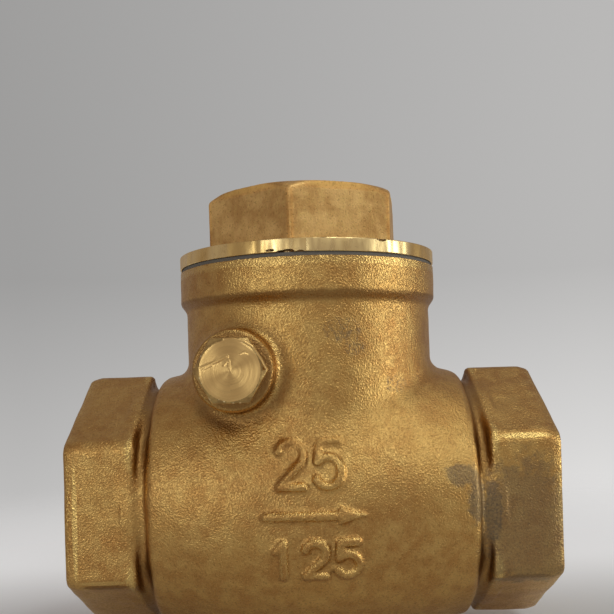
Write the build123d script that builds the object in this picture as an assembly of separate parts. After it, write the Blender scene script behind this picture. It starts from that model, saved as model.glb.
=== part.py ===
from build123d import *
import math
import os

# Brass swing check valve, DN 25, with G1 female pipe threads (ISO 228). Millimetres.
# The origin is the centre of the inlet mouth, +X is the flow, +Z points from the pipe's axis
# to the cap, and the hinge pin's plug is on the -Y side.

# ---- body: overall, barrel and hexagonal ends ----
LENGTH = 78.9              # face to face
MID_X = LENGTH / 2         # the neck's axis
HEX_FLATS = 38.5           # end hexagons, across flats, two flats face -Y and +Y
HEX_LENGTH = 11.45
HEX_EDGE_R = 1.3           # rounding of the hexagon's long edges
HEX_RIM_R = 0.8            # rounding of the hexagon's edges round the mouth
BARREL_R = 24.5            # at mid length
BARREL_END_R = 21.25       # where the bulge ends
BARREL_HALF = 26.0         # half length of the bulge
BARREL_ROUND = 1.2         # rounding of the bulge's shoulders
WAIST_R = 19.4             # between the barrel and the hexagons
WALL = 3.2

# ---- ports ----
THREAD_R = 15.15           # crest radius of the G1 female thread
THREAD_MAJOR_R = 16.9      # mouth of the countersink
MOUTH_DEPTH = 0.95         # countersink's depth
THREAD_END = 14.0          # from the mouth to the thread's shoulder
PORT_R = 12.0
OUTLET_R = 12.5
CHAMBER_END = 22.5         # from the neck's axis to the chamber's outlet wall
CHAMBER_START = -25.0      # from the neck's axis to the upstream end of the cored space
CHAMBER_ROUND = 3.0

# ---- neck and collar ----
NECK_R = 21.6
COLLAR_R = 22.6
COLLAR_BOTTOM = 34.2
COLLAR_TOP = 39.8
COLLAR_TAPER = 1.2         # height of the slope under the collar
NECK_BORE_R = 17.5
NECK_THREAD_R = 18.6       # crest radius of the cap's thread in the neck
NECK_THREAD_BOTTOM = 30.5
SADDLE_R = 3.0             # fillet between neck and barrel

# ---- cap ----
GASKET_T = 0.64
GASKET_OUT_R = 22.3
GASKET_IN_R = 18.75
FLANGE_R = 22.66
FLANGE_T = 2.14
CAP_HEX_FLATS = 31.2
CAP_HEX_TURN = 52.0        # direction of one corner, from -Y towards +X, in degrees
CAP_TOP = 53.1
CAP_CHAMFER_R = 15.9       # turned circle on top of the hexagon
CAP_CHAMFER_SLOPE = 0.7    # height lost per millimetre outside that circle
SPIGOT_R = 18.55
SPIGOT_BOTTOM = 31.5
SPIGOT_BORE_R = 15.0
CAP_HOLLOW_R = 11.5
CAP_HOLLOW_TOP = 49.0
CAP_HOLLOW_CHAMFER = 1.5
SPIGOT_FLOOR_DROP = 2.0    # the spigot's bore ends this far below the flange's top

# ---- hinge pin, boss and plug ----
PIN_X = MID_X - 11.7
PIN_Z = 22.3
PIN_R = 2.0
RUN_GAP = 0.05             # radial running clearance
PIN_FRONT = -18.2
PIN_BACK = 18.4
PIN_CHAMFER = 0.4
PIN_END_GAP = 0.2          # between the pin's blind end and the bottom of its bore
BOSS_R = 6.4
BOSS_FACE = -24.4
BOSS_ROUND = 1.2
BOSS_ROOT = 12.0           # how deep the bosses start inside the neck
BACK_BOSS_R = 5.4
BACK_BOSS_FACE = 20.8
PLUG_THREAD_R = 3.9
PLUG_HOLE_END = -18.0
PLUG_STUB_GAP = 0.5        # between the stub's end and the bottom of its hole
PLUG_WASHER_T = 0.6
PLUG_WASHER_R = 4.75
PLUG_HEX_FLATS = 9.7
PLUG_FACE = -29.0
PLUG_FACE_R = 4.45
PLUG_CHAMFER_SLOPE = 0.4   # depth lost per millimetre outside that circle
EAR_GAP = 6.5              # half the gap between the ears that carry the pin
EAR_R = 3.9
EAR_T = 12.0               # thick enough to reach the neck's wall

# ---- seat and disc, along the disc's own axis from the seat's plane ----
SEAT_X = MID_X - 13.5      # where the seat's plane crosses the pipe's axis
SEAT_TILT = 8.0            # degrees, the disc's lower edge lies downstream
SEAT_OUT_R = 14.3
SEAT_HEIGHT = 1.0
DISC_R = 14.5
SEAL_FACE = 0.15
SEAL_R = 13.3
SEAL_IN_R = 5.0
DISC_LIP = 0.9             # front of the disc's rim
SEAL_SEAT = 2.15           # floor of the facing's recess
DISC_BACK = 4.4
DISC_ROUND = 0.8           # rounding of the disc's back edge
SHOULDER_R = 5.0
SHOULDER_FACE = 4.75
STEM_R = 2.6
STEM_END = 15.8
EYE_FRONT = 4.9
EYE_BACK = 8.4
EYE_R = 5.2
WASHER_FRONT = 8.55
WASHER_T = 1.0
WASHER_R = 5.0
NUT_T = 3.4
NUT_FLATS = 8.0
NUT_FACE_R = 3.7           # turned circle on the nut's back
NUT_CHAMFER = 1.0
NUT_GAP = 0.03             # between the stem and the bores of nut and washer
COTTER_AT = 14.4
COTTER_R = 0.55
COTTER_HOLE_R = 0.65
COTTER_LEG_R = 0.4
COTTER_EYE_R = 0.8         # to the middle of the eye's wire
COTTER_REACH = 0.9         # from the stem's surface to the bend of the legs
COTTER_LEG = 2.4           # length of each bent leg
COTTER_SPREAD = 105.0      # degrees between a leg and the shank
COTTER_LEG_SHIFT = 0.15
RETAINER_R = 7.2
RETAINER_T = 1.3
RETAINER_CHAMFER = 0.4
SCREW_R = 1.5
SCREW_HEAD_R = 3.0
SCREW_LENGTH = 7.0         # depth of its hole
SCREW_END_GAP = 0.4
SCREW_SLOT_W = 0.8
SCREW_SLOT_DEPTH = 0.8

# ---- hinge arm ----
HUB_R = 3.8
HUB_HALF = 6.0
ARM_HALF_TOP = 4.6
HEEL_REACH = 4.8           # from the pin's axis to the stop heel's tip
HEEL_HALF_T = 1.5
HEEL_HALF_W = 4.0

# ---- raised marks ----
MARK_HEIGHT = 0.55
ARROW_TAIL = MID_X - 8.1
ARROW_TIP = MID_X + 8.5
ARROW_HEAD = 4.8
ARROW_HEAD_HALF = 1.8
ARROW_SHAFT_HALF = 0.9

PIPE_AXIS = Plane(origin=(0, 0, 0), x_dir=(0, 1, 0), z_dir=(1, 0, 0))
NECK_AXIS = Plane(origin=(MID_X, 0, 0), x_dir=(1, 0, 0), z_dir=(0, 0, 1))
PIN_AXIS = Plane(origin=(PIN_X, 0, PIN_Z), x_dir=(1, 0, 0), z_dir=(0, -1, 0))
TILT = math.radians(SEAT_TILT)
DISC_AXIS = Plane(
    origin=(SEAT_X, 0, 0), x_dir=(0, 1, 0), z_dir=(math.cos(TILT), 0, math.sin(TILT))
)
COTTER_AXIS = Plane(
    origin=DISC_AXIS.from_local_coords((0, 0, COTTER_AT)), x_dir=DISC_AXIS.z_dir, z_dir=(0, 1, 0)
)
OVERRUN = 1.0              # how far a cutter runs past the face that it opens
FAR = 120.0                # larger than the valve, for blocks that cut everything on one side


def drum(plane, radius, start, end):
    """A cylinder about the plane's normal, from start to end along it."""
    standing = (Align.CENTER, Align.CENTER, Align.MIN)
    return plane * Pos(0, 0, start) * Cylinder(radius, end - start, align=standing)


def hex_bar(plane, flats, start, end, turn=0.0):
    """A hexagonal bar about the plane's normal. Corners lie on the plane's x direction plus turn."""
    outline = RegularPolygon(flats / 2, 6, major_radius=False)
    corner = math.degrees(math.atan2(outline.vertices()[0].Y, outline.vertices()[0].X))
    return extrude(plane * Pos(0, 0, start) * Rot(0, 0, turn - corner) * outline, end - start)


def turned(points, plane):
    """A solid turned about the plane's normal from (radius, height) points."""
    outline = Polyline(*[(r, 0, h) for r, h in points], close=True)
    face = make_face(outline)
    return plane * revolve(face, Axis.Z)


def tube(plane, inner, outer, start, end):
    """A ring about the plane's normal."""
    return drum(plane, outer, start, end) - drum(plane, inner, start - OVERRUN, end + OVERRUN)


def bulge_radius(x_from_mid, inset=0.0):
    """The barrel's radius at a distance from the neck's axis."""
    drop = BARREL_R - BARREL_END_R
    return BARREL_R - drop * (x_from_mid / BARREL_HALF) ** 2 - inset


def barrel(inset, start, end):
    """The bulged barrel, turned about the pipe's axis between two distances from the neck's axis."""
    crown = ThreePointArc(
        (MID_X + start, bulge_radius(start, inset)),
        (MID_X, bulge_radius(0, inset)),
        (MID_X + end, bulge_radius(end, inset)),
    )
    sides = Polyline(crown @ 1, (MID_X + end, 0), (MID_X + start, 0), crown @ 0)
    return revolve(make_face(crown + sides), Axis.X)


def barrel_skin():
    """The outside of the barrel with rounded shoulders."""
    skin = barrel(0, -BARREL_HALF, BARREL_HALF)
    rims = [e for e in skin.edges().filter_by(GeomType.CIRCLE) if e.radius > BARREL_END_R - 1]
    return fillet(rims, BARREL_ROUND)


def end_hexagon(at_inlet):
    """One hexagonal end, its edges rounded as cast."""
    start = 0 if at_inlet else LENGTH - HEX_LENGTH
    bar = hex_bar(PIPE_AXIS, HEX_FLATS, start, start + HEX_LENGTH, turn=90)
    bar = fillet(bar.edges().filter_by(Axis.X), HEX_EDGE_R)
    mouth = bar.faces().sort_by(Axis.X)[0 if at_inlet else -1]
    return fillet(mouth.edges(), HEX_RIM_R)


def neck_skin():
    """The outside of the neck and its collar."""
    return turned(
        [
            (0, 0),
            (NECK_R, 0),
            (NECK_R, COLLAR_BOTTOM - COLLAR_TAPER),
            (COLLAR_R, COLLAR_BOTTOM),
            (COLLAR_R, COLLAR_TOP),
            (0, COLLAR_TOP),
        ],
        NECK_AXIS,
    )


def pin_bosses():
    """The boss under the plug and the smaller one over the pin's blind end."""
    front = drum(PIN_AXIS, BOSS_R, BOSS_ROOT, -BOSS_FACE)
    front = fillet(front.faces().sort_by(Axis.Y)[0].edges(), BOSS_ROUND)
    back = drum(PIN_AXIS, BACK_BOSS_R, -BACK_BOSS_FACE, -BOSS_ROOT)
    back = fillet(back.faces().sort_by(Axis.Y)[-1].edges(), BOSS_ROUND)
    return front + back


def flow_arrow():
    """The raised flow arrow on the front of the barrel."""
    neck_of_head = ARROW_TIP - ARROW_HEAD
    outline = Polyline(
        (ARROW_TAIL, -ARROW_SHAFT_HALF),
        (neck_of_head, -ARROW_SHAFT_HALF),
        (neck_of_head, -ARROW_HEAD_HALF),
        (ARROW_TIP, 0),
        (neck_of_head, ARROW_HEAD_HALF),
        (neck_of_head, ARROW_SHAFT_HALF),
        (ARROW_TAIL, ARROW_SHAFT_HALF),
        close=True,
    )
    front = Plane(origin=(0, 0, 0), x_dir=(1, 0, 0), z_dir=(0, -1, 0))
    prism = extrude(front * make_face(outline), BARREL_R + MARK_HEIGHT + OVERRUN)
    return prism & barrel(-MARK_HEIGHT, -BARREL_HALF, BARREL_HALF)


def ears():
    """The two lugs inside the neck that carry the pin beside the arm's hub."""
    both = Part()
    for start in (EAR_GAP, -EAR_GAP - EAR_T):
        both += drum(PIN_AXIS, EAR_R, start, start + EAR_T)
        both += PIN_AXIS * Pos(-EAR_R, 0, start + EAR_T / 2) * Box(2 * EAR_R, 2 * EAR_R, EAR_T)
    return both & drum(NECK_AXIS, NECK_BORE_R + OVERRUN, 0, NECK_THREAD_BOTTOM)


def flow_space():
    """Everything that is hollow in the body: ports, chamber with its tilted seat, and the neck."""
    chamber = barrel(WALL, CHAMBER_START, CHAMBER_END)
    outlet_rim = chamber.edges().filter_by(GeomType.CIRCLE).sort_by(Axis.X)[-1]
    chamber = fillet(outlet_rim, CHAMBER_ROUND)
    chamber += drum(NECK_AXIS, NECK_BORE_R, 0, COLLAR_TOP + OVERRUN)
    upstream = Box(FAR, FAR, FAR, align=(Align.CENTER, Align.CENTER, Align.MAX))
    downstream = Box(FAR, FAR, FAR, align=(Align.CENTER, Align.CENTER, Align.MIN))
    chamber -= DISC_AXIS * Pos(0, 0, -SEAT_HEIGHT) * upstream
    seat = drum(DISC_AXIS, SEAT_OUT_R, -SEAT_HEIGHT - OVERRUN, 0)
    space = chamber - seat - ears()
    space += drum(PIPE_AXIS, PORT_R, THREAD_END - OVERRUN, MID_X) - DISC_AXIS * downstream
    space += drum(PIPE_AXIS, OUTLET_R, MID_X + CHAMBER_END / 2, LENGTH - THREAD_END + OVERRUN)
    space += drum(NECK_AXIS, NECK_THREAD_R, NECK_THREAD_BOTTOM, COLLAR_TOP + OVERRUN)
    for mouth, inward in ((0.0, 1.0), (LENGTH, -1.0)):
        plane = Plane(origin=(mouth, 0, 0), x_dir=(0, 1, 0), z_dir=(inward, 0, 0))
        space += turned(
            [
                (0, -OVERRUN),
                (THREAD_MAJOR_R, -OVERRUN),
                (THREAD_MAJOR_R, 0),
                (THREAD_R, MOUTH_DEPTH),
                (THREAD_R, THREAD_END),
                (0, THREAD_END),
            ],
            plane,
        )
    return space


def valve_body():
    """The casting, with its machined ports, seat, neck and pin hole."""
    skin = barrel_skin() + neck_skin()
    crossing = [e for e in skin.edges() if 5 < e.center().Z < BARREL_R and e.length > NECK_R / 2]
    saddle = [e for e in crossing if e.geom_type != GeomType.CIRCLE]
    skin = fillet(saddle, SADDLE_R)
    skin += drum(PIPE_AXIS, WAIST_R, HEX_LENGTH - OVERRUN, LENGTH - HEX_LENGTH + OVERRUN)
    skin += end_hexagon(True) + end_hexagon(False)
    skin += pin_bosses() + flow_arrow()
    body = skin - flow_space()
    body -= drum(PIN_AXIS, PIN_R + RUN_GAP, -PIN_BACK - PIN_END_GAP, -BOSS_FACE + OVERRUN)
    body -= drum(PIN_AXIS, PLUG_THREAD_R, -PLUG_HOLE_END, -BOSS_FACE + OVERRUN)
    return body


def cap():
    """The screw cap: hollow hexagon, flange and threaded spigot."""
    under_flange = COLLAR_TOP + GASKET_T
    hex_base = under_flange + FLANGE_T
    bar = hex_bar(NECK_AXIS, CAP_HEX_FLATS, hex_base - OVERRUN, CAP_TOP, turn=CAP_HEX_TURN - 90)
    corner_r = CAP_HEX_FLATS / math.sqrt(3)
    bar &= turned(
        [
            (0, 0),
            (corner_r + OVERRUN, 0),
            (corner_r + OVERRUN, CAP_TOP - CAP_CHAMFER_SLOPE * (corner_r + OVERRUN - CAP_CHAMFER_R)),
            (CAP_CHAMFER_R, CAP_TOP),
            (0, CAP_TOP),
        ],
        NECK_AXIS,
    )
    solid = bar + drum(NECK_AXIS, FLANGE_R, under_flange, hex_base)
    solid += drum(NECK_AXIS, SPIGOT_R, SPIGOT_BOTTOM, under_flange + OVERRUN)
    hollow = turned(
        [
            (0, SPIGOT_BOTTOM - OVERRUN),
            (SPIGOT_BORE_R, SPIGOT_BOTTOM - OVERRUN),
            (SPIGOT_BORE_R, hex_base - SPIGOT_FLOOR_DROP),
            (CAP_HOLLOW_R, hex_base + OVERRUN),
            (CAP_HOLLOW_R, CAP_HOLLOW_TOP - CAP_HOLLOW_CHAMFER),
            (CAP_HOLLOW_R - CAP_HOLLOW_CHAMFER, CAP_HOLLOW_TOP),
            (0, CAP_HOLLOW_TOP),
        ],
        NECK_AXIS,
    )
    return solid - hollow


def cap_gasket():
    """The fibre ring under the cap's flange."""
    return tube(NECK_AXIS, GASKET_IN_R, GASKET_OUT_R, COLLAR_TOP, COLLAR_TOP + GASKET_T)


def hinge_pin():
    """The straight pin, chamfered at both ends."""
    pin = drum(PIN_AXIS, PIN_R, -PIN_BACK, -PIN_FRONT)
    return chamfer(pin.edges().filter_by(GeomType.CIRCLE), PIN_CHAMFER)


def pin_plug():
    """The hexagon plug with its threaded stub and turned face."""
    back = -BOSS_FACE + PLUG_WASHER_T
    face = -PLUG_FACE
    bar = hex_bar(PIN_AXIS, PLUG_HEX_FLATS, back, face)
    corner_r = PLUG_HEX_FLATS / math.sqrt(3)
    bar &= turned(
        [
            (0, back - OVERRUN),
            (corner_r + OVERRUN, back - OVERRUN),
            (corner_r + OVERRUN, face - PLUG_CHAMFER_SLOPE * (corner_r + OVERRUN - PLUG_FACE_R)),
            (PLUG_FACE_R, face),
            (0, face),
        ],
        PIN_AXIS,
    )
    stub = drum(PIN_AXIS, PLUG_THREAD_R - RUN_GAP, -PLUG_HOLE_END + PLUG_STUB_GAP, back + OVERRUN)
    return bar + stub


def plug_washer():
    """The sealing washer under the plug's hexagon."""
    start = -BOSS_FACE
    return tube(PIN_AXIS, PLUG_THREAD_R + RUN_GAP, PLUG_WASHER_R, start, start + PLUG_WASHER_T)


def pin_in_disc_frame():
    """The hinge pin's distance along the disc's axis and above it."""
    dx = PIN_X - SEAT_X
    along = dx * math.cos(TILT) + PIN_Z * math.sin(TILT)
    above = PIN_Z * math.cos(TILT) - dx * math.sin(TILT)
    return along, above


def hinge_arm():
    """Hub, plate, eye and stop heel in one casting."""
    along, above = pin_in_disc_frame()
    arm = drum(PIN_AXIS, HUB_R, -HUB_HALF, HUB_HALF)
    outline = Polyline(
        (-ARM_HALF_TOP, above),
        (ARM_HALF_TOP, above),
        (EYE_R, 0),
        (-EYE_R, 0),
        close=True,
    )
    arm += extrude(DISC_AXIS * Pos(0, 0, EYE_FRONT) * make_face(outline), EYE_BACK - EYE_FRONT)
    arm += drum(DISC_AXIS, EYE_R, EYE_FRONT, EYE_BACK)
    upright = (Align.CENTER, Align.MIN, Align.CENTER)
    heel = Box(2 * HEEL_HALF_W, HEEL_REACH, 2 * HEEL_HALF_T, align=upright)
    arm += DISC_AXIS * Pos(0, above, along) * heel
    arm -= drum(DISC_AXIS, STEM_R + RUN_GAP, EYE_FRONT - OVERRUN, EYE_BACK + OVERRUN)
    arm -= drum(PIN_AXIS, PIN_R + RUN_GAP, -HUB_HALF - OVERRUN, HUB_HALF + OVERRUN)
    return arm


def disc():
    """The clapper with its facing recess, back shoulder and stem."""
    plate = drum(DISC_AXIS, DISC_R, DISC_LIP, DISC_BACK)
    plate = fillet(plate.edges().filter_by(GeomType.CIRCLE).sort_by(Axis.X)[-1], DISC_ROUND)
    plate += drum(DISC_AXIS, SHOULDER_R, DISC_BACK - OVERRUN, SHOULDER_FACE)
    plate += drum(DISC_AXIS, STEM_R, DISC_BACK - OVERRUN, STEM_END)
    plate -= drum(DISC_AXIS, SEAL_R, 0, SEAL_SEAT)
    plate -= drum(DISC_AXIS, SCREW_R, 0, SCREW_LENGTH)
    return plate - drum(COTTER_AXIS, COTTER_HOLE_R, -STEM_R - OVERRUN, STEM_R + OVERRUN)


def disc_seal():
    """The rubber facing in the disc's recess."""
    return tube(DISC_AXIS, SEAL_IN_R, SEAL_R, SEAL_FACE, SEAL_SEAT)


def seal_retainer():
    """The plate that holds the facing: a boss inside the facing and a flange over its front."""
    plate = drum(DISC_AXIS, SEAL_IN_R, SEAL_FACE, SEAL_SEAT)
    plate += drum(DISC_AXIS, RETAINER_R, SEAL_FACE - RETAINER_T, SEAL_FACE)
    plate = chamfer(plate.edges().filter_by(GeomType.CIRCLE).sort_by(Axis.X)[0], RETAINER_CHAMFER)
    sunk = SCREW_HEAD_R - SCREW_R
    front = SEAL_FACE - RETAINER_T
    hole = turned(
        [
            (0, front - OVERRUN),
            (SCREW_HEAD_R, front - OVERRUN),
            (SCREW_HEAD_R, front),
            (SCREW_R, front + sunk),
            (SCREW_R, SEAL_SEAT + OVERRUN),
            (0, SEAL_SEAT + OVERRUN),
        ],
        DISC_AXIS,
    )
    return plate - hole


def retainer_screw():
    """The slotted countersunk screw of the retainer."""
    front = SEAL_FACE - RETAINER_T
    sunk = SCREW_HEAD_R - SCREW_R
    screw = turned(
        [
            (0, front),
            (SCREW_HEAD_R, front),
            (SCREW_R, front + sunk),
            (SCREW_R, SCREW_LENGTH - SCREW_END_GAP),
            (0, SCREW_LENGTH - SCREW_END_GAP),
        ],
        DISC_AXIS,
    )
    slot = Box(2 * SCREW_HEAD_R + OVERRUN, SCREW_SLOT_W, 2 * SCREW_SLOT_DEPTH)
    return screw - DISC_AXIS * Pos(0, 0, front) * slot


def disc_washer():
    """The washer on the stem behind the arm's eye."""
    return tube(DISC_AXIS, STEM_R + NUT_GAP, WASHER_R, WASHER_FRONT, WASHER_FRONT + WASHER_T)


def disc_nut():
    """The hexagon nut on the stem, chamfered on its back."""
    front = WASHER_FRONT + WASHER_T
    back = front + NUT_T
    nut = hex_bar(DISC_AXIS, NUT_FLATS, front, back)
    corner_r = NUT_FLATS / math.sqrt(3)
    nut &= turned(
        [
            (0, front - OVERRUN),
            (corner_r + OVERRUN, front - OVERRUN),
            (corner_r + OVERRUN, back - NUT_CHAMFER),
            (NUT_FACE_R, back),
            (0, back),
        ],
        DISC_AXIS,
    )
    return nut - drum(DISC_AXIS, STEM_R + NUT_GAP, front - OVERRUN, back + OVERRUN)


def split_pin():
    """The cotter pin through the stem: a straight shank with an eye at one end and bent legs."""
    bend = STEM_R + COTTER_REACH
    standing = (Align.CENTER, Align.CENTER, Align.MIN)
    shank = drum(COTTER_AXIS, COTTER_R, -bend - COTTER_LEG_R / 2, bend)
    eye = Pos(0, 0, bend + COTTER_EYE_R) * Rot(0, 90, 0) * Torus(COTTER_EYE_R, COTTER_LEG_R)
    legs = Part()
    for side in (-1, 1):
        leg = Cylinder(COTTER_LEG_R, COTTER_LEG, align=standing)
        legs += Pos(0, side * COTTER_LEG_SHIFT, -bend) * Rot(side * COTTER_SPREAD, 0, 0) * leg
    return shank + COTTER_AXIS * (eye + legs)


PIECES = {
    "valve_body": valve_body,
    "cap": cap,
    "cap_gasket": cap_gasket,
    "hinge_pin": hinge_pin,
    "pin_plug": pin_plug,
    "plug_washer": plug_washer,
    "hinge_arm": hinge_arm,
    "disc": disc,
    "disc_seal": disc_seal,
    "seal_retainer": seal_retainer,
    "retainer_screw": retainer_screw,
    "disc_washer": disc_washer,
    "disc_nut": disc_nut,
    "split_pin": split_pin,
}

os.makedirs("parts", exist_ok=True)
for name, make in PIECES.items():
    solid = make()
    solid.label = name
    export_step(solid, f"parts/{name}.step")
    print(name, round(solid.volume, 1), solid.is_valid)
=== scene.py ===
"""Looks of the brass swing check valve: cast skin, machined faces, inner parts, stage and light.

Shapes are worked out in millimetres in the casting's own frame: x along the flow from the neck's
axis, y away from the plug, z up from the pipe's axis. They are moved into the row frame, in
metres, when a mesh is made.
"""

import math

import bmesh
import bpy
import numpy as np
from mathutils import Matrix, Vector


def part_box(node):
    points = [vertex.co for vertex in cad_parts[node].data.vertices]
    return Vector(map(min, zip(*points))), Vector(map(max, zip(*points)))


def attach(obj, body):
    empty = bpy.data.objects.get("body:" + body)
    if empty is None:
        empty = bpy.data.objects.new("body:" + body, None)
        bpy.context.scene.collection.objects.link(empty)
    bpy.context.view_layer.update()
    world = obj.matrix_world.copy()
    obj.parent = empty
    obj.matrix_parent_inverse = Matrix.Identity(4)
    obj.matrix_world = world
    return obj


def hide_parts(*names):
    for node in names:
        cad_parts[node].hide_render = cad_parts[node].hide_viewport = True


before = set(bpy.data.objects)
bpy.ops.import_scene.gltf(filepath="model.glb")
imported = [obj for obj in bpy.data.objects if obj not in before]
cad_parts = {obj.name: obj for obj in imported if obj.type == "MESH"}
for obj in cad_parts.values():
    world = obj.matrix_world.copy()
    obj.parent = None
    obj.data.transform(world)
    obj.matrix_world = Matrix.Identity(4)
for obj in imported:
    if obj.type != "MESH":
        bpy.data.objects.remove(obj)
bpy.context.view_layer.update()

MM = 0.001
MID_X = sum(corner[0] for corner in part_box("cap")) / 2 / MM


def mm_box(node):
    """A node's corners in millimetres, in the casting's frame."""
    return [Vector(corner) / MM - Vector((MID_X, 0, 0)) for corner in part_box(node)]


# ---- sizes from the frame, and the meshes' cell sizes ----
BODY_LOW, BODY_HIGH = mm_box("valve_body")
GASKET_LOW, GASKET_HIGH = mm_box("cap_gasket")
CAP_LOW, CAP_HIGH = mm_box("cap")
PIN_LOW, PIN_HIGH = mm_box("hinge_pin")
PLUG_FACE = -mm_box("pin_plug")[0].y
HALF_LENGTH = BODY_HIGH.x
BARREL_R = -BODY_LOW.z
COLLAR_TOP = BODY_HIGH.z
PIN_X = (PIN_LOW.x + PIN_HIGH.x) / 2
PIN_Z = (PIN_LOW.z + PIN_HIGH.z) / 2
SKIN_STEP = 0.42
INNER_STEP = 0.7
CAP_STEP = 0.3
DENT_STEP = 0.14
PLUG_STEP = 0.11
ARM_STEP = 0.3
NUT_STEP = 0.14

# ---- casting, outside ----
BARREL_HALF = 26.3
BARREL_END_R = 21.25
BARREL_ROUND = 1.3
WAIST_R = 19.4
WAIST_FILLET_R = 0.9
HEX_HALF_FLATS = 19.25
HEX_INNER = 28.15
HEX_CORNER_R = 1.2
HEX_RIM_R = 0.9
HEX_BEVEL_FROM = 1.75      # where the shallow bevel round the mouth starts, from the end face
HEX_BEVEL = 0.26           # its slope
HEX_BEVEL_SOFT = 0.35
HEX_INNER_R = 0.8
HEX_EDGE_Z = -HEX_HALF_FLATS / math.sqrt(3) - 0.35
HEX_EDGE_CUTS = (          # grooves under the front flats: middle, half length, how far out, radius
    (-33.4, 4.3, 0.05, 0.36),
    (34.0, 3.9, 0.25, 0.45),
)
STOCK = 0.35               # what machining takes off the cast faces
NECK_R = 21.6
COLLAR_R = 22.6
COLLAR_FOOT_Z = 33.6       # where the collar's underside would meet the neck
COLLAR_SLOPE = 0.5
COLLAR_EDGE_R = 0.5
COLLAR_FILLET_R = 1.2
SADDLE_R = 2.0
BOSS_R = 6.4
BOSS_FACE = 24.4
BOSS_EDGE_R = 1.3
BOSS_BLEND = 2.6
BACK_BOSS_R = 5.4
BACK_BOSS_FACE = 20.8
BACK_BOSS_EDGE_R = 1.5
BACK_BOSS_BLEND = 2.2
BOSS_ROOT = 10             # both bosses start this far from the middle plane

# ---- raised marks on the barrel ----
MARK_HEIGHT = 0.75
MARK_STROKE = 0.80         # half width of the raised strokes at their foot
MARK_DRAFT = (0.87, 0.5)   # how their sides lean
MARK_ZONE = (8, 11, 14)    # the marks lie this far in front, and within this x and z
NUMERALS = (               # text of the figures 1, 2 and 5, left end, foot, width, height, gap
    ("25", -5.3, 4.4, 3.9, 6.9, 1.9),
    ("125", -6.6, -9.5, 3.3, 5.4, 1.75),
)
ARROW_TAIL = -7.4
ARROW_SHAFT_END = 4.8
ARROW_STROKE = 0.85
ARROW_ROOT = 3.6           # where the arrow's head starts
ARROW_TIP = 8.6
ARROW_HALF = 1.75

# ---- casting, inside ----
WALL = 3.2
THREAD_MINOR_R = 15.15
THREAD_MAJOR_R = 16.62
THREAD_PITCH = 2.309
THREAD_LENGTH = 14.0
THREAD_RUN_OUT = 1.4
MOUTH_R = 16.9
MOUTH_DEPTH = 0.95
PORT_R = 12.0
OUTLET_R = 12.5
CHAMBER_END = 22.5
CHAMBER_CORNER_R = 3.0
CORE_BLEND = 2.0
NECK_BORE_R = 17.5
NECK_THREAD_R = 18.6
NECK_THREAD_BOTTOM = 30.5
SEAT_X = -13.5
SEAT_TILT = math.radians(8)
SEAT_OUT_R = 14.3
SEAT_HEIGHT = 1.0
EAR_GAP = 6.5
EAR_R = 3.9
PIN_BORE_R = 2.05
PLUG_HOLE_R = 3.9
PLUG_HOLE_END = 18.0
FACING_R = 30              # a facing cutter's radius and depth, past everything it cuts
FACING_DEPTH = 3

# ---- cap ----
CAP_HEX_HALF = 15.6
CAP_HEX_TURN = math.radians(52)
CAP_CHAMFER_R = 15.9
CAP_CHAMFER_SLOPE = 0.7
CAP_REACH = 18.5           # beyond the hexagon's corners
CAP_HOLLOW_R = 11.5
CAP_HOLLOW_TOP = 49.0
FLANGE_R = 22.66
FLANGE_TOP = 42.58
SPIGOT_R = 18.55
SPIGOT_BORE_R = 15.0
GASKET_IN_R = 18.75
GASKET_OUT_R = 22.3
FLANGE_DENTS = (           # gouges that a spanner left on the flange's rim: centre and half sizes
    ((-3.4, -22.6, 40.35), (1.9, 0.65, 0.50)),
    ((-0.9, -22.9, 40.40), (1.5, 0.45, 0.26)),
    ((-5.6, -22.2, 40.80), (0.8, 0.50, 0.22)),
    ((3.4, -22.75, 40.30), (0.6, 0.40, 0.30)),
    ((12.2, -19.3, 42.45), (1.1, 0.60, 0.30)),
    ((2.6, -22.5, 42.75), (1.2, 0.50, 0.30)),
)

# ---- plug ----
PLUG_HEX_HALF = 4.85
PLUG_FACE_R = 4.45
PLUG_CHAMFER_SLOPE = 0.6
PLUG_REACH = 6             # beyond the hexagon's corners
PLUG_THREAD_R = 3.85
PLUG_WASHER_R = 4.72
PLUG_SCARS = (             # gashes on the plug's face: a line and half its width
    ([(-4.1, 0.55), (-2.2, 1.25), (-0.35, 2.1)], 0.26),
    ([(-3.9, 0.25), (-2.6, 0.85)], 0.17),
    ([(-0.9, 0.8), (-0.1, 1.55), (0.05, 0.2)], 0.15),
    ([(1.5, 2.4), (2.3, 2.7), (2.6, 2.45)], 0.14),
)
PLUG_BURR_R = 0.17
PLUG_BURR = [(5.34, 0.05), (4.50, 1.80), (3.45, 3.42), (2.25, 4.22), (0.60, 4.66), (-0.8, 4.62)]

# ---- hinge arm and disc, along the disc's axis from the seat's plane ----
PIN_R = 2.0
HUB_R = 3.8
HUB_HALF = 6.0
ARM_HALF_TOP = 4.6
EYE_R = 5.2
EYE_FRONT = 4.9
EYE_BACK = 8.4
HEEL_REACH = 4.8
HEEL_HALF_T = 1.5
HEEL_HALF_W = 4.0
DISC_R = 14.5
DISC_LIP = 0.9
DISC_BACK = 4.4
SEAL_SEAT = 2.15
SEAL_R = 13.3
SEAL_IN_R = 5.0
SEAL_FACE = 0.15
SEAL_PRINT = ((11.9, 0), (12.2, 0.12), (12.8, 0.12), (13.05, 0))    # what the seat pressed in
STEM_R = 2.6
STEM_END = 15.8
STEM_THREAD_START = 9.4
STEM_THREAD_DEPTH = 0.42
STEM_PITCH = 0.8
SHOULDER_R = 5.0
SHOULDER_HEIGHT = 0.35
SCREW_R = 1.5
SCREW_HEAD_R = 3.0
SCREW_DEPTH = 7.0
SCREW_CONE = 1.5
SCREW_THREAD_DEPTH = 0.28
SCREW_PITCH = 0.5
SLOT_HALF = 0.4
SLOT_DEPTH = 0.8
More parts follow.
